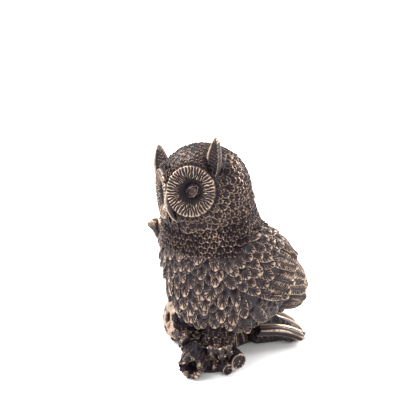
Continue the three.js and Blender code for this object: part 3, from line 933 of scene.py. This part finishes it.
# ---- Grids that close on themselves ----
def loft(rings):
    """Joins rings of points (levels, points, 3) into a closed skin, with a fan at each end."""
    levels, count = rings.shape[:2]
    k, j = np.meshgrid(np.arange(levels - 1), np.arange(count), indexing="ij")
    after = (j + 1) % count
    quads = np.stack([k * count + j, k * count + after, (k + 1) * count + after, (k + 1) * count + j], -1)
    ring = np.arange(count)
    ahead = (ring + 1) % count
    first, last = levels * count, (levels - 1) * count
    start = np.stack([np.full(count, first), ahead, ring], -1)
    end = np.stack([np.full(count, first + 1), last + ring, last + ahead], -1)
    verts = [rings.reshape(-1, 3), rings[0].mean(0, keepdims=True), rings[-1].mean(0, keepdims=True)]
    return np.concatenate(verts), [quads.reshape(-1, 4), np.concatenate([start, end])]


def ring_sweep(rings):
    """Joins rings into a closed tube whose last ring meets its first."""
    levels, count = rings.shape[:2]
    k, j = np.meshgrid(np.arange(levels), np.arange(count), indexing="ij")
    after, up = (j + 1) % count, (k + 1) % levels
    quads = np.stack([k * count + j, k * count + after, up * count + after, up * count + j], -1)
    return rings.reshape(-1, 3), [quads.reshape(-1, 4)]


def add_loft(name, rings, relief, ends, material, node):
    """Makes a piece of a capped loft. relief has a row for each ring, and ends is for the two caps."""
    verts, faces = loft(np.array(rings))
    make_piece(name, verts, faces, material, [node], np.append(np.array(relief).ravel(), ends), 60)


def add_sweep(name, rings, relief, material, node, crease):
    """Makes a piece of a closed tube. relief has a row for each ring."""
    verts, faces = ring_sweep(np.array(rings))
    make_piece(name, verts, faces, material, [node], np.array(relief).ravel(), crease)


def ring_about(centre, gaze, turn, away, radius):
    """Points round a line of sight, at a distance and a radius that may differ from point to point."""
    above, across = head.frame_of(gaze)
    out = above * np.cos(turn)[:, None] + across * np.sin(turn)[:, None]
    return centre + gaze * away[:, None] + out * radius[:, None]


# ---- Facial discs, eyes, ears and beak ----
DISC_RIDGES = 46
DISC_PARTING = 0.35             # half the gap between the two discs
DISC_PROFILE = np.array([       # radius, distance from the head's centre, ridge height, edge line
    [3.3, 15.0, 0.0, 0.0], [3.9, 16.0, 0.0, 0.0], [4.5, 16.8, 0.4, 0.0], [5.2, 17.6, 0.9, 0.0],
    [6.2, 18.4, 1.0, 0.0], [7.3, 18.9, 1.0, 0.0], [8.5, 19.15, 1.0, 0.0], [9.6, 19.3, 1.0, 0.0],
    [10.4, 19.35, 1.0, 0.1], [10.9, 19.2, 0.7, 0.8], [11.2, 18.95, 0.0, 1.0], [11.6, 18.3, 0.0, 0.3],
    [11.7, 17.0, 0.0, 0.0], [11.2, 14.2, 0.0, 0.0], [7.0, 13.6, 0.0, 0.0], [3.3, 13.4, 0.0, 0.0],
])


def disc_ring(profile, turn, strength, start, offsets):
    """One ring of the facial disc, as radii and distances, with how rubbed it is.

    strength and start are how high each ridge stands and how far out it begins.
    """
    r, d, rise, line = profile
    sway = 0.5 * np.sin(turn * 5 + r * 0.6 + offsets[0]) + 0.3 * np.sin(turn * 11 - r * 1.1 + offsets[1])
    sway += 0.16 * np.sin(turn * 19 + r * 1.8 + offsets[2])
    phase = turn / (2 * math.pi) * DISC_RIDGES + sway * blend(12, 5, r)
    which = np.floor(phase).astype(int) % DISC_RIDGES
    crest = (0.5 - 0.5 * np.cos(2 * math.pi * phase)) ** 1.7
    lift = rise * crest * strength[which] * blend(4.4 + start[which], 5.4 + start[which], r)
    loops = np.abs(np.cos(turn * DISC_RIDGES / 4)) ** 0.6
    rim = r + line * 0.3 * (loops - 0.6)
    worn = 0.95 * blend(0.1, 0.75, lift) * blend(4.2, 5.8, r) + line * (0.7 + 0.25 * loops)
    return rim, d + 0.55 * lift + 0.12 * line, np.clip(worn, 0, 0.97)


def facial_disc(word, side):
    """A dished disc of wavy radial barbs that join in small loops at a thin raised rim."""
    gaze = head.gaze(side)
    steps = DISC_RIDGES * 7
    turn = np.arange(steps) / steps * 2 * math.pi
    knots = np.arange(len(DISC_PROFILE))
    fine = np.concatenate([np.linspace(0, 11, 45), np.arange(11.5, 15.1, 0.5)])
    profile = np.stack([np.interp(fine, knots, DISC_PROFILE[:, c]) for c in range(4)], 1)
    strength = rng.uniform(0.75, 1.1, DISC_RIDGES)
    start = rng.uniform(-0.5, 1.0, DISC_RIDGES)
    offsets = rng.uniform(0, 2 * math.pi, 3)
    rings, relief = [], []
    for row in profile:
        rim, away, worn = disc_ring(row, turn, strength, start, offsets)
        ring = ring_about(head.centre, gaze, turn, away, rim)
        over = (ring - head.centre) @ head.x * side
        ring += head.x * side * np.maximum(DISC_PARTING - over, 0)[:, None]
        rings.append(ring)
        relief.append(worn)
    add_sweep(f"{word}_disc_ridges", rings, relief, feather_bronze,
              f"{word}_facial_disc", 70)


EYE_BALL = 3.3
EYE_STEPS = 48
IRIS_EDGE, PUPIL_EDGE = 38, (10, 17)        # degrees from the gaze
LID_END = math.radians(104)
LIDS = (        # how far along the lid from its edge, how far it stands off the ball, how rubbed it is
    (0.0, 0.06, 0.3), (0.0, 0.4, 0.55), (0.08, 0.6, 0.8), (0.2, 0.5, 0.45), (0.3, 0.3, 0.15),
    (0.4, 0.6, 0.7), (0.5, 0.36, 0.2), (0.6, 0.7, 0.5), (0.8, 0.9, 0.3), (1.0, 0.8, 0.0),
    (1.0, 0.05, 0.0),
)


def eye(word, side):
    """An eyeball with a ringed iris, and a pair of lids with a thick edge."""
    gaze = head.gaze(side)
    centre = head.centre + gaze * EYE_DISTANCE
    turn = np.linspace(0, 2 * math.pi, EYE_STEPS, endpoint=False)

    def at(angle, radius):
        return ring_about(centre, gaze, turn, radius * np.cos(angle), radius * np.sin(angle))

    rings, relief = [], []
    for degrees in np.concatenate([np.linspace(1, 60, 40), np.linspace(66, 179, 16)]):
        line = math.exp(-((degrees - IRIS_EDGE) / 3.0) ** 2)
        radius = EYE_BALL + 0.05 * line - 0.06 * (1 - blend(*PUPIL_EDGE, degrees))
        rings.append(at(np.full(EYE_STEPS, math.radians(degrees)), np.full(EYE_STEPS, radius)))
        relief.append(np.full(EYE_STEPS, 0.2 + 0.2 * line))
    add_loft(f"{word}_eyeball", rings, relief, [0.1, 0.1], eye_bronze, f"{word}_eye")

    rings, relief = [], []
    slant = turn + 0.5 * side
    opening = np.radians(58 - 32 * np.abs(np.cos(slant)) ** 0.8 - 6 * np.cos(turn))
    fold = 0.1 * np.sin(turn * 7) + 0.08 * np.sin(turn * 16 + 1)
    for share, stand, worn in LIDS:
        angle = opening + (LID_END - opening) * share
        rings.append(at(angle, EYE_BALL + stand + fold * (0 < share < 1)))
        relief.append(np.full(EYE_STEPS, worn))
    add_sweep(f"{word}_eyelids", rings, relief, feather_bronze,
              f"{word}_facial_disc", 60)


EAR_LENGTH, EAR_WIDTH = 17.0, 8.8
EAR_CUP = 0.55              # how deep the scoop is, as a share of its half width


def ear_section(s):
    """The outline across an ear at a height s from 0 to 1, and how rubbed it is."""
    spread = np.linspace(-1, 1, 22)
    edge = np.abs(spread)
    width = EAR_WIDTH / 2 * (math.sin(math.pi * (0.18 + 0.82 * s) ** 0.9) ** 0.8 + 0.03)
    cup = EAR_CUP * width
    inner = -cup * (1 - spread**2)
    groove = np.cos(2 * math.pi * (s * 11 - edge * 1.6)) * (1 - blend(0.6, 0.9, edge))
    rim = blend(0.7, 0.95, edge)
    front = np.stack([spread * width, inner + 0.3 * groove + 0.18 * rim], 1)
    spread, edge = spread[::-1], edge[::-1]
    ribs = np.cos(spread * math.pi * 5.5)
    depth = -cup * (1 - spread ** 2) * 1.15 - 1.1 * (1 - spread ** 4) - 0.25
    slant = np.cos(2 * math.pi * (s * 12 + edge * 1.5))
    back = np.stack([spread * width * 1.05, depth - 0.12 * ribs - 0.16 * slant], 1)
    worn_front = 0.15 + 0.75 * blend(0.1, 0.9, groove) + 0.95 * rim
    worn_back = 0.3 + 0.4 * blend(0.3, 1, ribs) + 0.45 * blend(0.0, 0.9, slant)
    return np.concatenate([front, back]), np.concatenate([worn_front, worn_back])


def ear(word, side):
    """A pointed scoop with slanting grooves inside, rolled rims and a ribbed back."""
    node = f"{word}_ear_tuft"
    centre = middle(node) + head.out(side * 0.3, -0.2, 1.4)
    upward = unit(head.out(side * 0.2, 0.22, 0.95))
    facing = tangent(head.out(-side * 0.15, -0.95, 0.1), upward)
    across = np.cross(upward, facing)
    rings, relief = [], []
    for s in np.linspace(0, 1, 44):
        section, worn = ear_section(s)
        core = centre + upward * EAR_LENGTH * (s - 0.52) - facing * (1.6 * (s - 0.35) ** 2)
        rings.append(core + across * section[:, :1] + facing * section[:, 1:])
        relief.append(np.clip(worn + 0.5 * blend(0.8, 1.0, s), 0, 1))
    add_loft(f"{word}_ear_scoop", rings, relief, [0.2, 1.0], feather_bronze, node)


BEAK_PATH = np.array([        # down the middle of the beak, in the head's frame
    [0, -18.0, 7.0], [0, -20.0, 4.0], [0, -21.4, 0.5], [0, -21.7, -3.0], [0, -21.0, -6.6], [0, -19.2, -10.2],
])
BEAK_KNOTS = [0, 0.3, 0.6, 0.85, 1]
BEAK_WIDE = [0.8, 1.5, 1.7, 0.9, 0.12]
BEAK_DEEP = [1.4, 2.0, 2.2, 1.2, 0.15]
BEAK_LEVELS = 30


def beak():
    """A narrow hooked beak with a keeled ridge, growing out of the feathers between the discs."""
    knots = np.linspace(0, 1, len(BEAK_PATH))
    s = np.linspace(0, 1, BEAK_LEVELS)
    line = np.stack([np.interp(s, knots, BEAK_PATH[:, c]) for c in range(3)], 1)
    for _ in range(3):
        line[1:-1] = (line[:-2] + 2 * line[1:-1] + line[2:]) / 4
    wide, deep = np.interp(s, BEAK_KNOTS, BEAK_WIDE), np.interp(s, BEAK_KNOTS, BEAK_DEEP)
    turn = np.linspace(0, 2 * math.pi, 28, endpoint=False)
    keel = np.maximum(np.cos(turn), 0) ** 6
    nostrils = np.exp(-((np.abs(turn - math.pi) - 1.95) / 0.3) ** 2)
    sideways = np.array([1.0, 0, 0])
    rings, relief = [], []
    for k, (place, w, d) in enumerate(zip(line, wide, deep)):
        ahead = unit(line[min(k + 1, BEAK_LEVELS - 1)] - line[max(k - 1, 0)])
        front = tangent(np.array([0, -1.0, 0]), ahead)
        nostril = math.exp(-((s[k] - 0.42) / 0.05) ** 2) * nostrils
        reach = (d * (0.75 + 0.25 * keel) - 0.5 * nostril)[:, None]
        spread = (w * (1 - 0.25 * keel) - 0.5 * nostril)[:, None]
        flat = place + front * np.cos(turn)[:, None] * reach + sideways * np.sin(turn)[:, None] * spread
        rings.append(head.centre + flat[:, :1] * head.x + flat[:, 1:2] * head.y + flat[:, 2:] * head.z)
        relief.append(np.clip(0.3 + 0.7 * keel - nostril + 0.25 * blend(0.8, 1, s[k]), 0, 1))
    add_loft("beak_hook", rings, relief, [0.2, 1.0], foot_bronze, "beak")


# ---- Legs and feet ----
CLAW_GRIP = 0.4          # how far the claws close on the wood, as a share of their reach
TOE_PLATE = 1.15         # from one ring of plates to the next


THIGH_COUNT = 15


def thigh_feathers(word):
    """Rows of narrow feathers that hang round the thigh."""
    node = f"{word}_thigh"
    surface = Surface([node], 0.6, 6, 0.1)
    low, high = box_mm(node)
    centre = (low + high) / 2
    plumage = Plumage(surface)
    for row, z in enumerate(np.arange(high[2] + 1.5, low[2] + 1.5, -2.6)):
        for angle in staggered(THIGH_COUNT, row):
            spoke = spoke_at(angle + rng.normal(0, 0.06))
            place, normal = surface.from_outside([centre[0], centre[1], z], spoke, 30.0)
            if place is None:
                continue
            ahead = turned(-UP, normal, rng.normal(0, 0.15))
            plumage.add(place, normal, ahead, rng.uniform(2.6, 3.4), rng.uniform(4.5, 6.5), 1.0, 0.6)
    forms = forms_of(3, barbs=4, shaft=0.8, length=1.9, shoulder=0.5, tip=1.8, ridge=0.25, rim=0.4)
    # Painted shade: the thigh feathers, low under the belly, take the darkened neck bronze.
    plumage.build(f"{node}_feathers", forms, neck_shaded_bronze, "bronze_feathers", [node])


def foot(word):
    """Scaly toes: plates ring each toe, and the claws are smooth."""
    node = f"{word}_foot"
    made = Surface([node], 0.32, 4, 0.12)
    low, high = box_mm(node)
    hub = np.array([(low[0] + high[0]) / 2, high[1] - 2.6, high[2] - 2.6])
    out = np.linalg.norm((made.verts - hub) * [1.0, 1.0, 0.9], axis=1)
    claw = blend(low[2] + 4.6, low[2] + 3.4, made.verts[:, 2])
    wrinkle = fractal(made.verts, 1.6, 3, 5.0)
    plate = np.abs(np.sin(math.pi * (out + 0.8 * wrinkle) / TOE_PLATE)) ** 0.6
    swell = (0.2 * plate + 0.45 * wrinkle - 0.1) * (1 - claw)
    verts = made.verts + made.normals * swell[:, None]
    grip = CLAW_GRIP * blend(low[2] + 8.0, low[2] + 1.5, verts[:, 2])
    verts[:, :2] += (hub[:2] - verts[:, :2]) * grip[:, None]
    # Painted highlight: ridge lightens the sides of the toes and claws that face up, towards the lights
    # above.
    ridge = blend(0.15, 0.85, made.normals[:, 2] + 0.15 * fractal(made.verts, 1.2, 2, 3.0))
    veins = blend(0.5, 1.0, 1 - 6 * np.abs(fractal(made.verts, 2.0, 2, 9.0)))
    relief = 0.18 + 0.3 * blend(0.5, 1.0, plate) + 0.28 * ridge + 0.45 * veins
    relief = relief + 0.3 * blend(0.1, 0.5, wrinkle)
    relief = np.clip(mix(relief, 0.55 + 0.45 * ridge, claw), 0, 1)
    make_piece(f"{word}_toes", verts, quads_of(made.faces), foot_bronze, [node], relief, 70)


# ---- Tail ----
TAIL_FEATHERS = 7
FLOOR_OF_CASTINGS = 1.0     # the felt holds the castings this far above the table


def tail():
    """Stiff ribbed feathers fanned side by side, arching from under the wings down to the table."""
    low, high = box_mm("tail_fan")
    middle_x, span = (low[0] + high[0]) / 2, high[0] - low[0]
    verts, kinds, relief, base = [], [[], []], [], 0
    for k in range(TAIL_FEATHERS):
        share = k / (TAIL_FEATHERS - 1) * 2 - 1
        outer = share**2
        start = np.array([middle_x + share * span * 0.27, low[1] + 5.0 - 4.0 * outer,
                          high[2] - 3.0 - 6.0 * outer])
        end = np.array([middle_x + share * span * 0.49, high[1] + 1.5 - 7.0 * outer, 2.6])
        made, faces, worn = tail_feather(start, end, 1.15 * span / TAIL_FEATHERS, 2.6 - 0.8 * outer)
        for kind, some in zip(kinds, faces):
            kind.append(some + base)
        verts.append(made)
        relief.append(worn)
        base += len(made)
    make_piece("tail_feathers", np.concatenate(verts), [np.concatenate(f) for f in kinds],
               flight_bronze, ["tail_fan"], np.concatenate(relief), 60)


def tail_wedge():
    """The fluted sides under the tail. The top is sunk out of the way of the feathers."""
    made = Surface(["tail_fan"], 0.5, 3, -0.3)
    flutes = 1 - 1.9 * np.abs(fractal(made.verts * [1.0, 1.0, 0.25], 2.1, 2, 1.0))
    side = 1 - blend(0.2, 0.6, made.normals[:, 2])
    settled = blend(1.2, 2.6, made.verts[:, 2])
    swell = settled * (0.9 * (flutes - 0.6) * side - 1.0 * (1 - side))
    verts = made.verts + made.normals * swell[:, None]
    verts[:, 2] = np.maximum(verts[:, 2], FLOOR_OF_CASTINGS)
    relief = np.clip(0.75 * blend(0.5, 1.05, flutes), 0, 1)
    make_piece("tail_wedge", verts, quads_of(made.faces), wood_bronze, ["tail_fan"],
               relief, 70)


def tail_feather(start, end, width, arch):
    """One thick feather: a rounded keel over a deep body, with lengthwise ribs and a turned-down tip."""
    turn = np.linspace(0, 2 * math.pi, 56, endpoint=False)
    phase = rng.uniform(0, 6)
    top, across = np.maximum(np.sin(turn), 0), np.cos(turn)
    keel = np.exp(-(across / 0.3) ** 2) * top
    flutes = np.cos(5 * turn + phase)
    rings, relief = [], []
    for s in np.linspace(0, 1, 64):
        core = mix(start, end, s) + np.array([0, 0, arch * math.sin(math.pi * s**1.2)])
        slope = arch * math.pi * math.cos(math.pi * s**1.2) * 1.2 * s**0.2
        ahead = unit(end - start + np.array([0, 0, slope]))
        upward = tangent(UP, ahead)
        side = np.cross(ahead, upward)
        close = max(0.02, 1 - blend(0.9, 1.0, s) ** 2)
        wide = width * mix(0.6, 0.86, s) * close ** 0.5
        ribs = 0.5 + 0.5 * np.cos(across * math.pi * 4 + 0.9 * math.sin(s * 7 + phase))
        rise = np.where(np.sin(turn) > 0, top * 1.5, np.sin(turn) * mix(3.6, 2.6, s)) * close ** 0.5
        rise = rise + (0.35 * ribs + 0.8 * keel) * blend(0.05, 0.5, top) * close
        wide = wide * (1 + 0.1 * flutes + 0.12 * blend(0.8, 1.0, s))
        ring = core + side * (across * wide)[:, None] + upward * rise[:, None]
        ring[:, 2] = np.maximum(ring[:, 2], FLOOR_OF_CASTINGS)
        rings.append(ring)
        worn_top = 0.8 * blend(0.4, 0.9, ribs) + 0.9 * blend(0.2, 0.7, keel)
        worn = mix(0.95 * (0.5 + 0.5 * flutes), worn_top, blend(0.0, 0.4, top))
        relief.append(np.clip(worn + 0.6 * blend(0.85, 1.0, s), 0, 1))
    verts, faces = loft(np.array(rings))
    return verts, faces, np.append(np.array(relief).ravel(), [0.2, 0.8])


# ---- Wood ----
GRAIN = {        # the way the grain runs, how rough the bark is, and how far it is eaten into cells
    "stump_shell": ((0.1, -0.15, 1.0), 1.3, 1.5),
    "hollow_stub": ((7.0, -14.6, -0.8), 0.8, 0.5),
    "ringed_stub": ((17.4, -3.6, -1.6), 0.55, 0.25),
    "split_stub": ((10.4, -3.6, -0.4), 0.5, 0.2),
    "limb_knoll": ((0.15, 0.1, 1.0), 0.2, 2.6),
    "branch_lower": ((-2.4, -1.5, 18.0), 0.4, 0.0),
    "branch_upper": ((-1.2, -2.5, 14.2), 0.4, 0.0),
    "branch_fork": ((-4.4, -1.8, 7.0), 0.7, 0.0),
}
WOOD_VOXEL = {"stump_shell": 0.42, "limb_knoll": 0.36}
CELL_SIZE = 3.6


def cell_walls(points, scale, grain):
    """0 in the middle of each cell and 1 on the walls, with cells drawn out along the grain."""
    flat = points - 0.5 * (points @ grain)[:, None] * grain
    near = [noise.voronoi(Vector(p) / scale)[0] for p in flat]
    return 1 - blend(0.05, 0.5, np.array([d[1] - d[0] for d in near]))


def cut_end(node, made, along, grain, coarse):
    """Where the sawn or broken far end of a stub is, with its height and how rubbed it is."""
    is_end = along > along.max() - 0.6
    from_tip = made.verts - made.verts[is_end].mean(0)
    out = np.linalg.norm(from_tip - np.outer(from_tip @ grain, grain), axis=1)
    share = out / np.percentile(out[is_end], 97)
    facing = blend(0.7, 0.95, made.normals @ grain) * (along > along.max() - 2.6)
    lip = np.exp(-((share - 0.88) / 0.1) ** 2)
    hollow = (1 - blend(0.45, 0.78, share)) * (1.2 if node == "split_stub" else 0.7)
    specks = blend(0.1, 0.5, fractal(made.verts, 1.1, 2, 4.0))
    height = 0.35 * lip - hollow + 0.3 * specks * (share < 0.8)
    return facing, height, np.clip(0.95 * lip + 0.9 * specks * (share < 0.8) + 0.1 * coarse, 0, 1)


def eaten_part(node, made):
    """Where the eaten cells show: the stump's front, the knoll's lower front, or all over."""
    if node == "stump_shell":
        return blend(2.0, -4.0, made.verts[:, 1])
    if node == "limb_knoll":
        return blend(19, 14, made.verts[:, 2]) * blend(0.0, 0.5, made.normals @ unit([0.5, -0.85, 0]))
    return 1.0


def wood(node):
    """The casting's own shape, with bark ridges along the grain, eaten cells, and cut ends."""
    grain, rough, eaten = GRAIN[node]
    grain = unit(grain)
    made = Surface([node], WOOD_VOXEL.get(node, 0.28), 3, 0.8 if node == "branch_fork" else 0.05)
    low, high = box_mm(node)
    height, along = made.verts[:, 2], made.verts @ grain
    flat = made.verts - 0.86 * along[:, None] * grain
    coarse, fine = fractal(flat, 3.0, 2, 1.0), fractal(flat, 1.0, 2, 2.0)
    ridge = 1 - 1.9 * np.abs(coarse) + 0.3 * fine
    lift = rough * (ridge - 0.6)
    relief = np.clip(0.9 * blend(0.35, 1.1, ridge) + 0.12 * fine, 0, 1)
    if eaten:
        walls = cell_walls(made.verts, CELL_SIZE, grain)
        place = eaten_part(node, made)
        lift = lift - eaten * (1 - walls) * place
        relief = mix(relief, relief * walls, place)
    if node == "limb_knoll":
        stripped = 0.62 + 0.35 * blend(10.0, 20.0, height) + 0.3 * coarse + 0.15 * fine
        relief = mix(0.9 * walls ** 0.7, np.clip(stripped, 0, 1), 1 - place)
    if node == "branch_fork":
        lift = lift + 0.9 * blend(high[2] - 4.5, high[2] - 1.5, height)
    if node.startswith("branch"):
        worn = 0.55 + 0.3 * coarse + 0.2 * fine + 0.25 * blend(high[2] - 3, high[2], height)
        relief = np.clip(worn, 0, 1)
    if node in ("ringed_stub", "split_stub"):
        facing, rise, worn = cut_end(node, made, along, grain, coarse)
        lift, relief = mix(lift, rise, facing), mix(relief, worn, facing)
    torn = np.zeros((1, 3))
    if node == "hollow_stub":
        edge = blend(along.max() - 2.4, along.max() - 0.4, along)
        lift = lift + edge * 0.5 * coarse
        relief = np.maximum(relief, 0.8 * edge * blend(-0.1, 0.4, coarse))
        torn = grain * (edge * 1.6 * fractal(made.verts, 2.2, 2, 7.0))[:, None]
    settled = blend(low[2] + 0.2, low[2] + 1.4, height)
    verts = made.verts + made.normals * (lift * settled)[:, None] + torn
    verts[:, 2] = np.maximum(verts[:, 2], low[2])
    name = f"{node.replace('_shell', '')}_wood"
    make_piece(name, verts, quads_of(made.faces), wood_bronze, [node], relief, 75)


FLAKE_TRIES = 60


def bark_flakes():
    """Curled leaves of bark on the front of the stump, between the toes and round the stubs."""
    surface = Surface(["stump_shell"], 0.8, 6, 0.1)
    low, high = box_mm("stump_shell")
    flakes = Plumage(surface)
    hub = np.array([low[0] + 22.0, low[1] + 16.0, 2.0])
    for _ in range(FLAKE_TRIES):
        turn = math.radians(rng.uniform(-18, 85))
        rise = math.radians(rng.uniform(6, 70))
        spoke = spoke_at(turn, rise)
        place, normal = surface.from_outside(hub, spoke, 50.0)
        if place is None or not 2.5 <= place[2] <= high[2] - 3 or place[0] < low[0] + 7:
            continue
        ahead = turned(tangent(-UP + spoke * 0.2, normal), normal, rng.normal(0, 0.7))
        width, length, lift = (rng.uniform(*span) for span in ((2.2, 4.4), (3.0, 5.5), (0.5, 1.3)))
        flakes.add(place, normal, ahead, width, length, lift, 1.2)
    forms = forms_of(4, barbs=3, shaft=0.7, length=1.4, shoulder=0.4, tip=1.6, ridge=0.25, rim=0.3,
                     waves=0.1)
    flakes.build("bark_flakes", forms, leaf_bronze, "bronze_wood", ["stump_shell"])


# ---- Camera, light and floor ----
VIEW_AZIMUTH, VIEW_ELEVATION = math.radians(45), math.radians(21)
CAMERA_DISTANCE = 900.0
CAMERA_LENS = 175.5
AIM_RIGHT, AIM_UP = -11.1, 18.1      # from the middle of the CAD box to the middle of the picture


def add_camera():
    back = spoke_at(VIEW_AZIMUTH, VIEW_ELEVATION)
    right = np.array([math.cos(VIEW_AZIMUTH), math.sin(VIEW_AZIMUTH), 0.0])
    up = np.cross(back, right)
    centre = np.array((CAD_BOX[0] + CAD_BOX[1]) / 2) / MM
    aim = centre + right * AIM_RIGHT + up * AIM_UP
    data = bpy.data.cameras.new("camera")
    data.lens = CAMERA_LENS
    data.sensor_width = 36.0
    data.clip_start, data.clip_end = 0.01, 20.0
    camera = bpy.data.objects.new("camera", data)
    camera.location = Vector((aim + back * CAMERA_DISTANCE) * MM)
    camera.rotation_euler = (-Vector(back)).to_track_quat("-Z", "Y").to_euler()
    bpy.context.scene.collection.objects.link(camera)
    bpy.context.scene.camera = camera


def add_floor():
    """A paper sweep that turns up behind the figure."""
    mesh = bpy.data.meshes.new("floor")
    reach, back, bend, wall = 3.0, 1.5, 0.6, 2.2        # metres
    profile = [(-reach, 0.0), (back, 0.0)]
    profile += [(back + bend * math.sin(a), bend - bend * math.cos(a))
                for a in np.linspace(0, math.pi / 2, 24)[1:]]
    profile.append((back + bend, wall))
    turn = Matrix.Rotation(VIEW_AZIMUTH, 3, "Z")
    verts = [turn @ Vector((x, y, z)) for y, z in profile for x in (-reach, reach)]
    faces = [(2 * i, 2 * i + 1, 2 * i + 3, 2 * i + 2) for i in range(len(profile) - 1)]
    mesh.from_pydata([v[:] for v in verts], [], faces)
    mesh.polygons.foreach_set("use_smooth", np.ones(len(faces), bool))
    floor = bpy.data.objects.new("floor", mesh)
    bpy.context.scene.collection.objects.link(floor)
    material, _, shader = node_tree("floor_paper")
    shader.inputs["Base Color"].default_value = (0.93, 0.93, 0.93, 1)
    shader.inputs["Roughness"].default_value = 0.85
    mesh.materials.append(material)


def add_light(name, azimuth, elevation, distance, size, power):
    """A square soft light aimed at the figure from a bearing in degrees."""
    data = bpy.data.lights.new(name, "AREA")
    data.shape = "RECTANGLE"
    data.size = data.size_y = size
    data.energy = power
    light = bpy.data.objects.new(name, data)
    out = Vector(spoke_at(math.radians(azimuth), math.radians(elevation)))
    light.location = out * distance + Vector((0, 0, 0.06))
    light.rotation_euler = (-out).to_track_quat("-Z", "Y").to_euler()
    bpy.context.scene.collection.objects.link(light)


def add_lights():
    world = bpy.data.worlds.new("studio")
    bpy.context.scene.world = world
    world.use_nodes = True
    background = world.node_tree.nodes["Background"]
    background.inputs["Color"].default_value = (1.0, 1.0, 1.0, 1.0)
    background.inputs["Strength"].default_value = 1.0
    add_light("key", -15, 50, 0.9, 0.6, 7.0)
    add_light("back_left", -85, 35, 0.9, 0.5, 9.0)
    add_light("back_right", 160, 30, 0.9, 0.5, 9.0)
    add_light("fill", 60, 25, 1.0, 0.7, 4.0)
    bpy.context.scene.view_settings.view_transform = "Standard"


add_camera()
add_floor()
add_lights()
finish_hidden_nodes()
add_skins()
lay_feathers()
for word, side in SIDES.items():
    facial_disc(word, side)
    eye(word, side)
    ear(word, side)
    thigh_feathers(word)
    foot(word)
beak()
tail()
tail_wedge()
for node in GRAIN:
    wood(node)
bark_flakes()
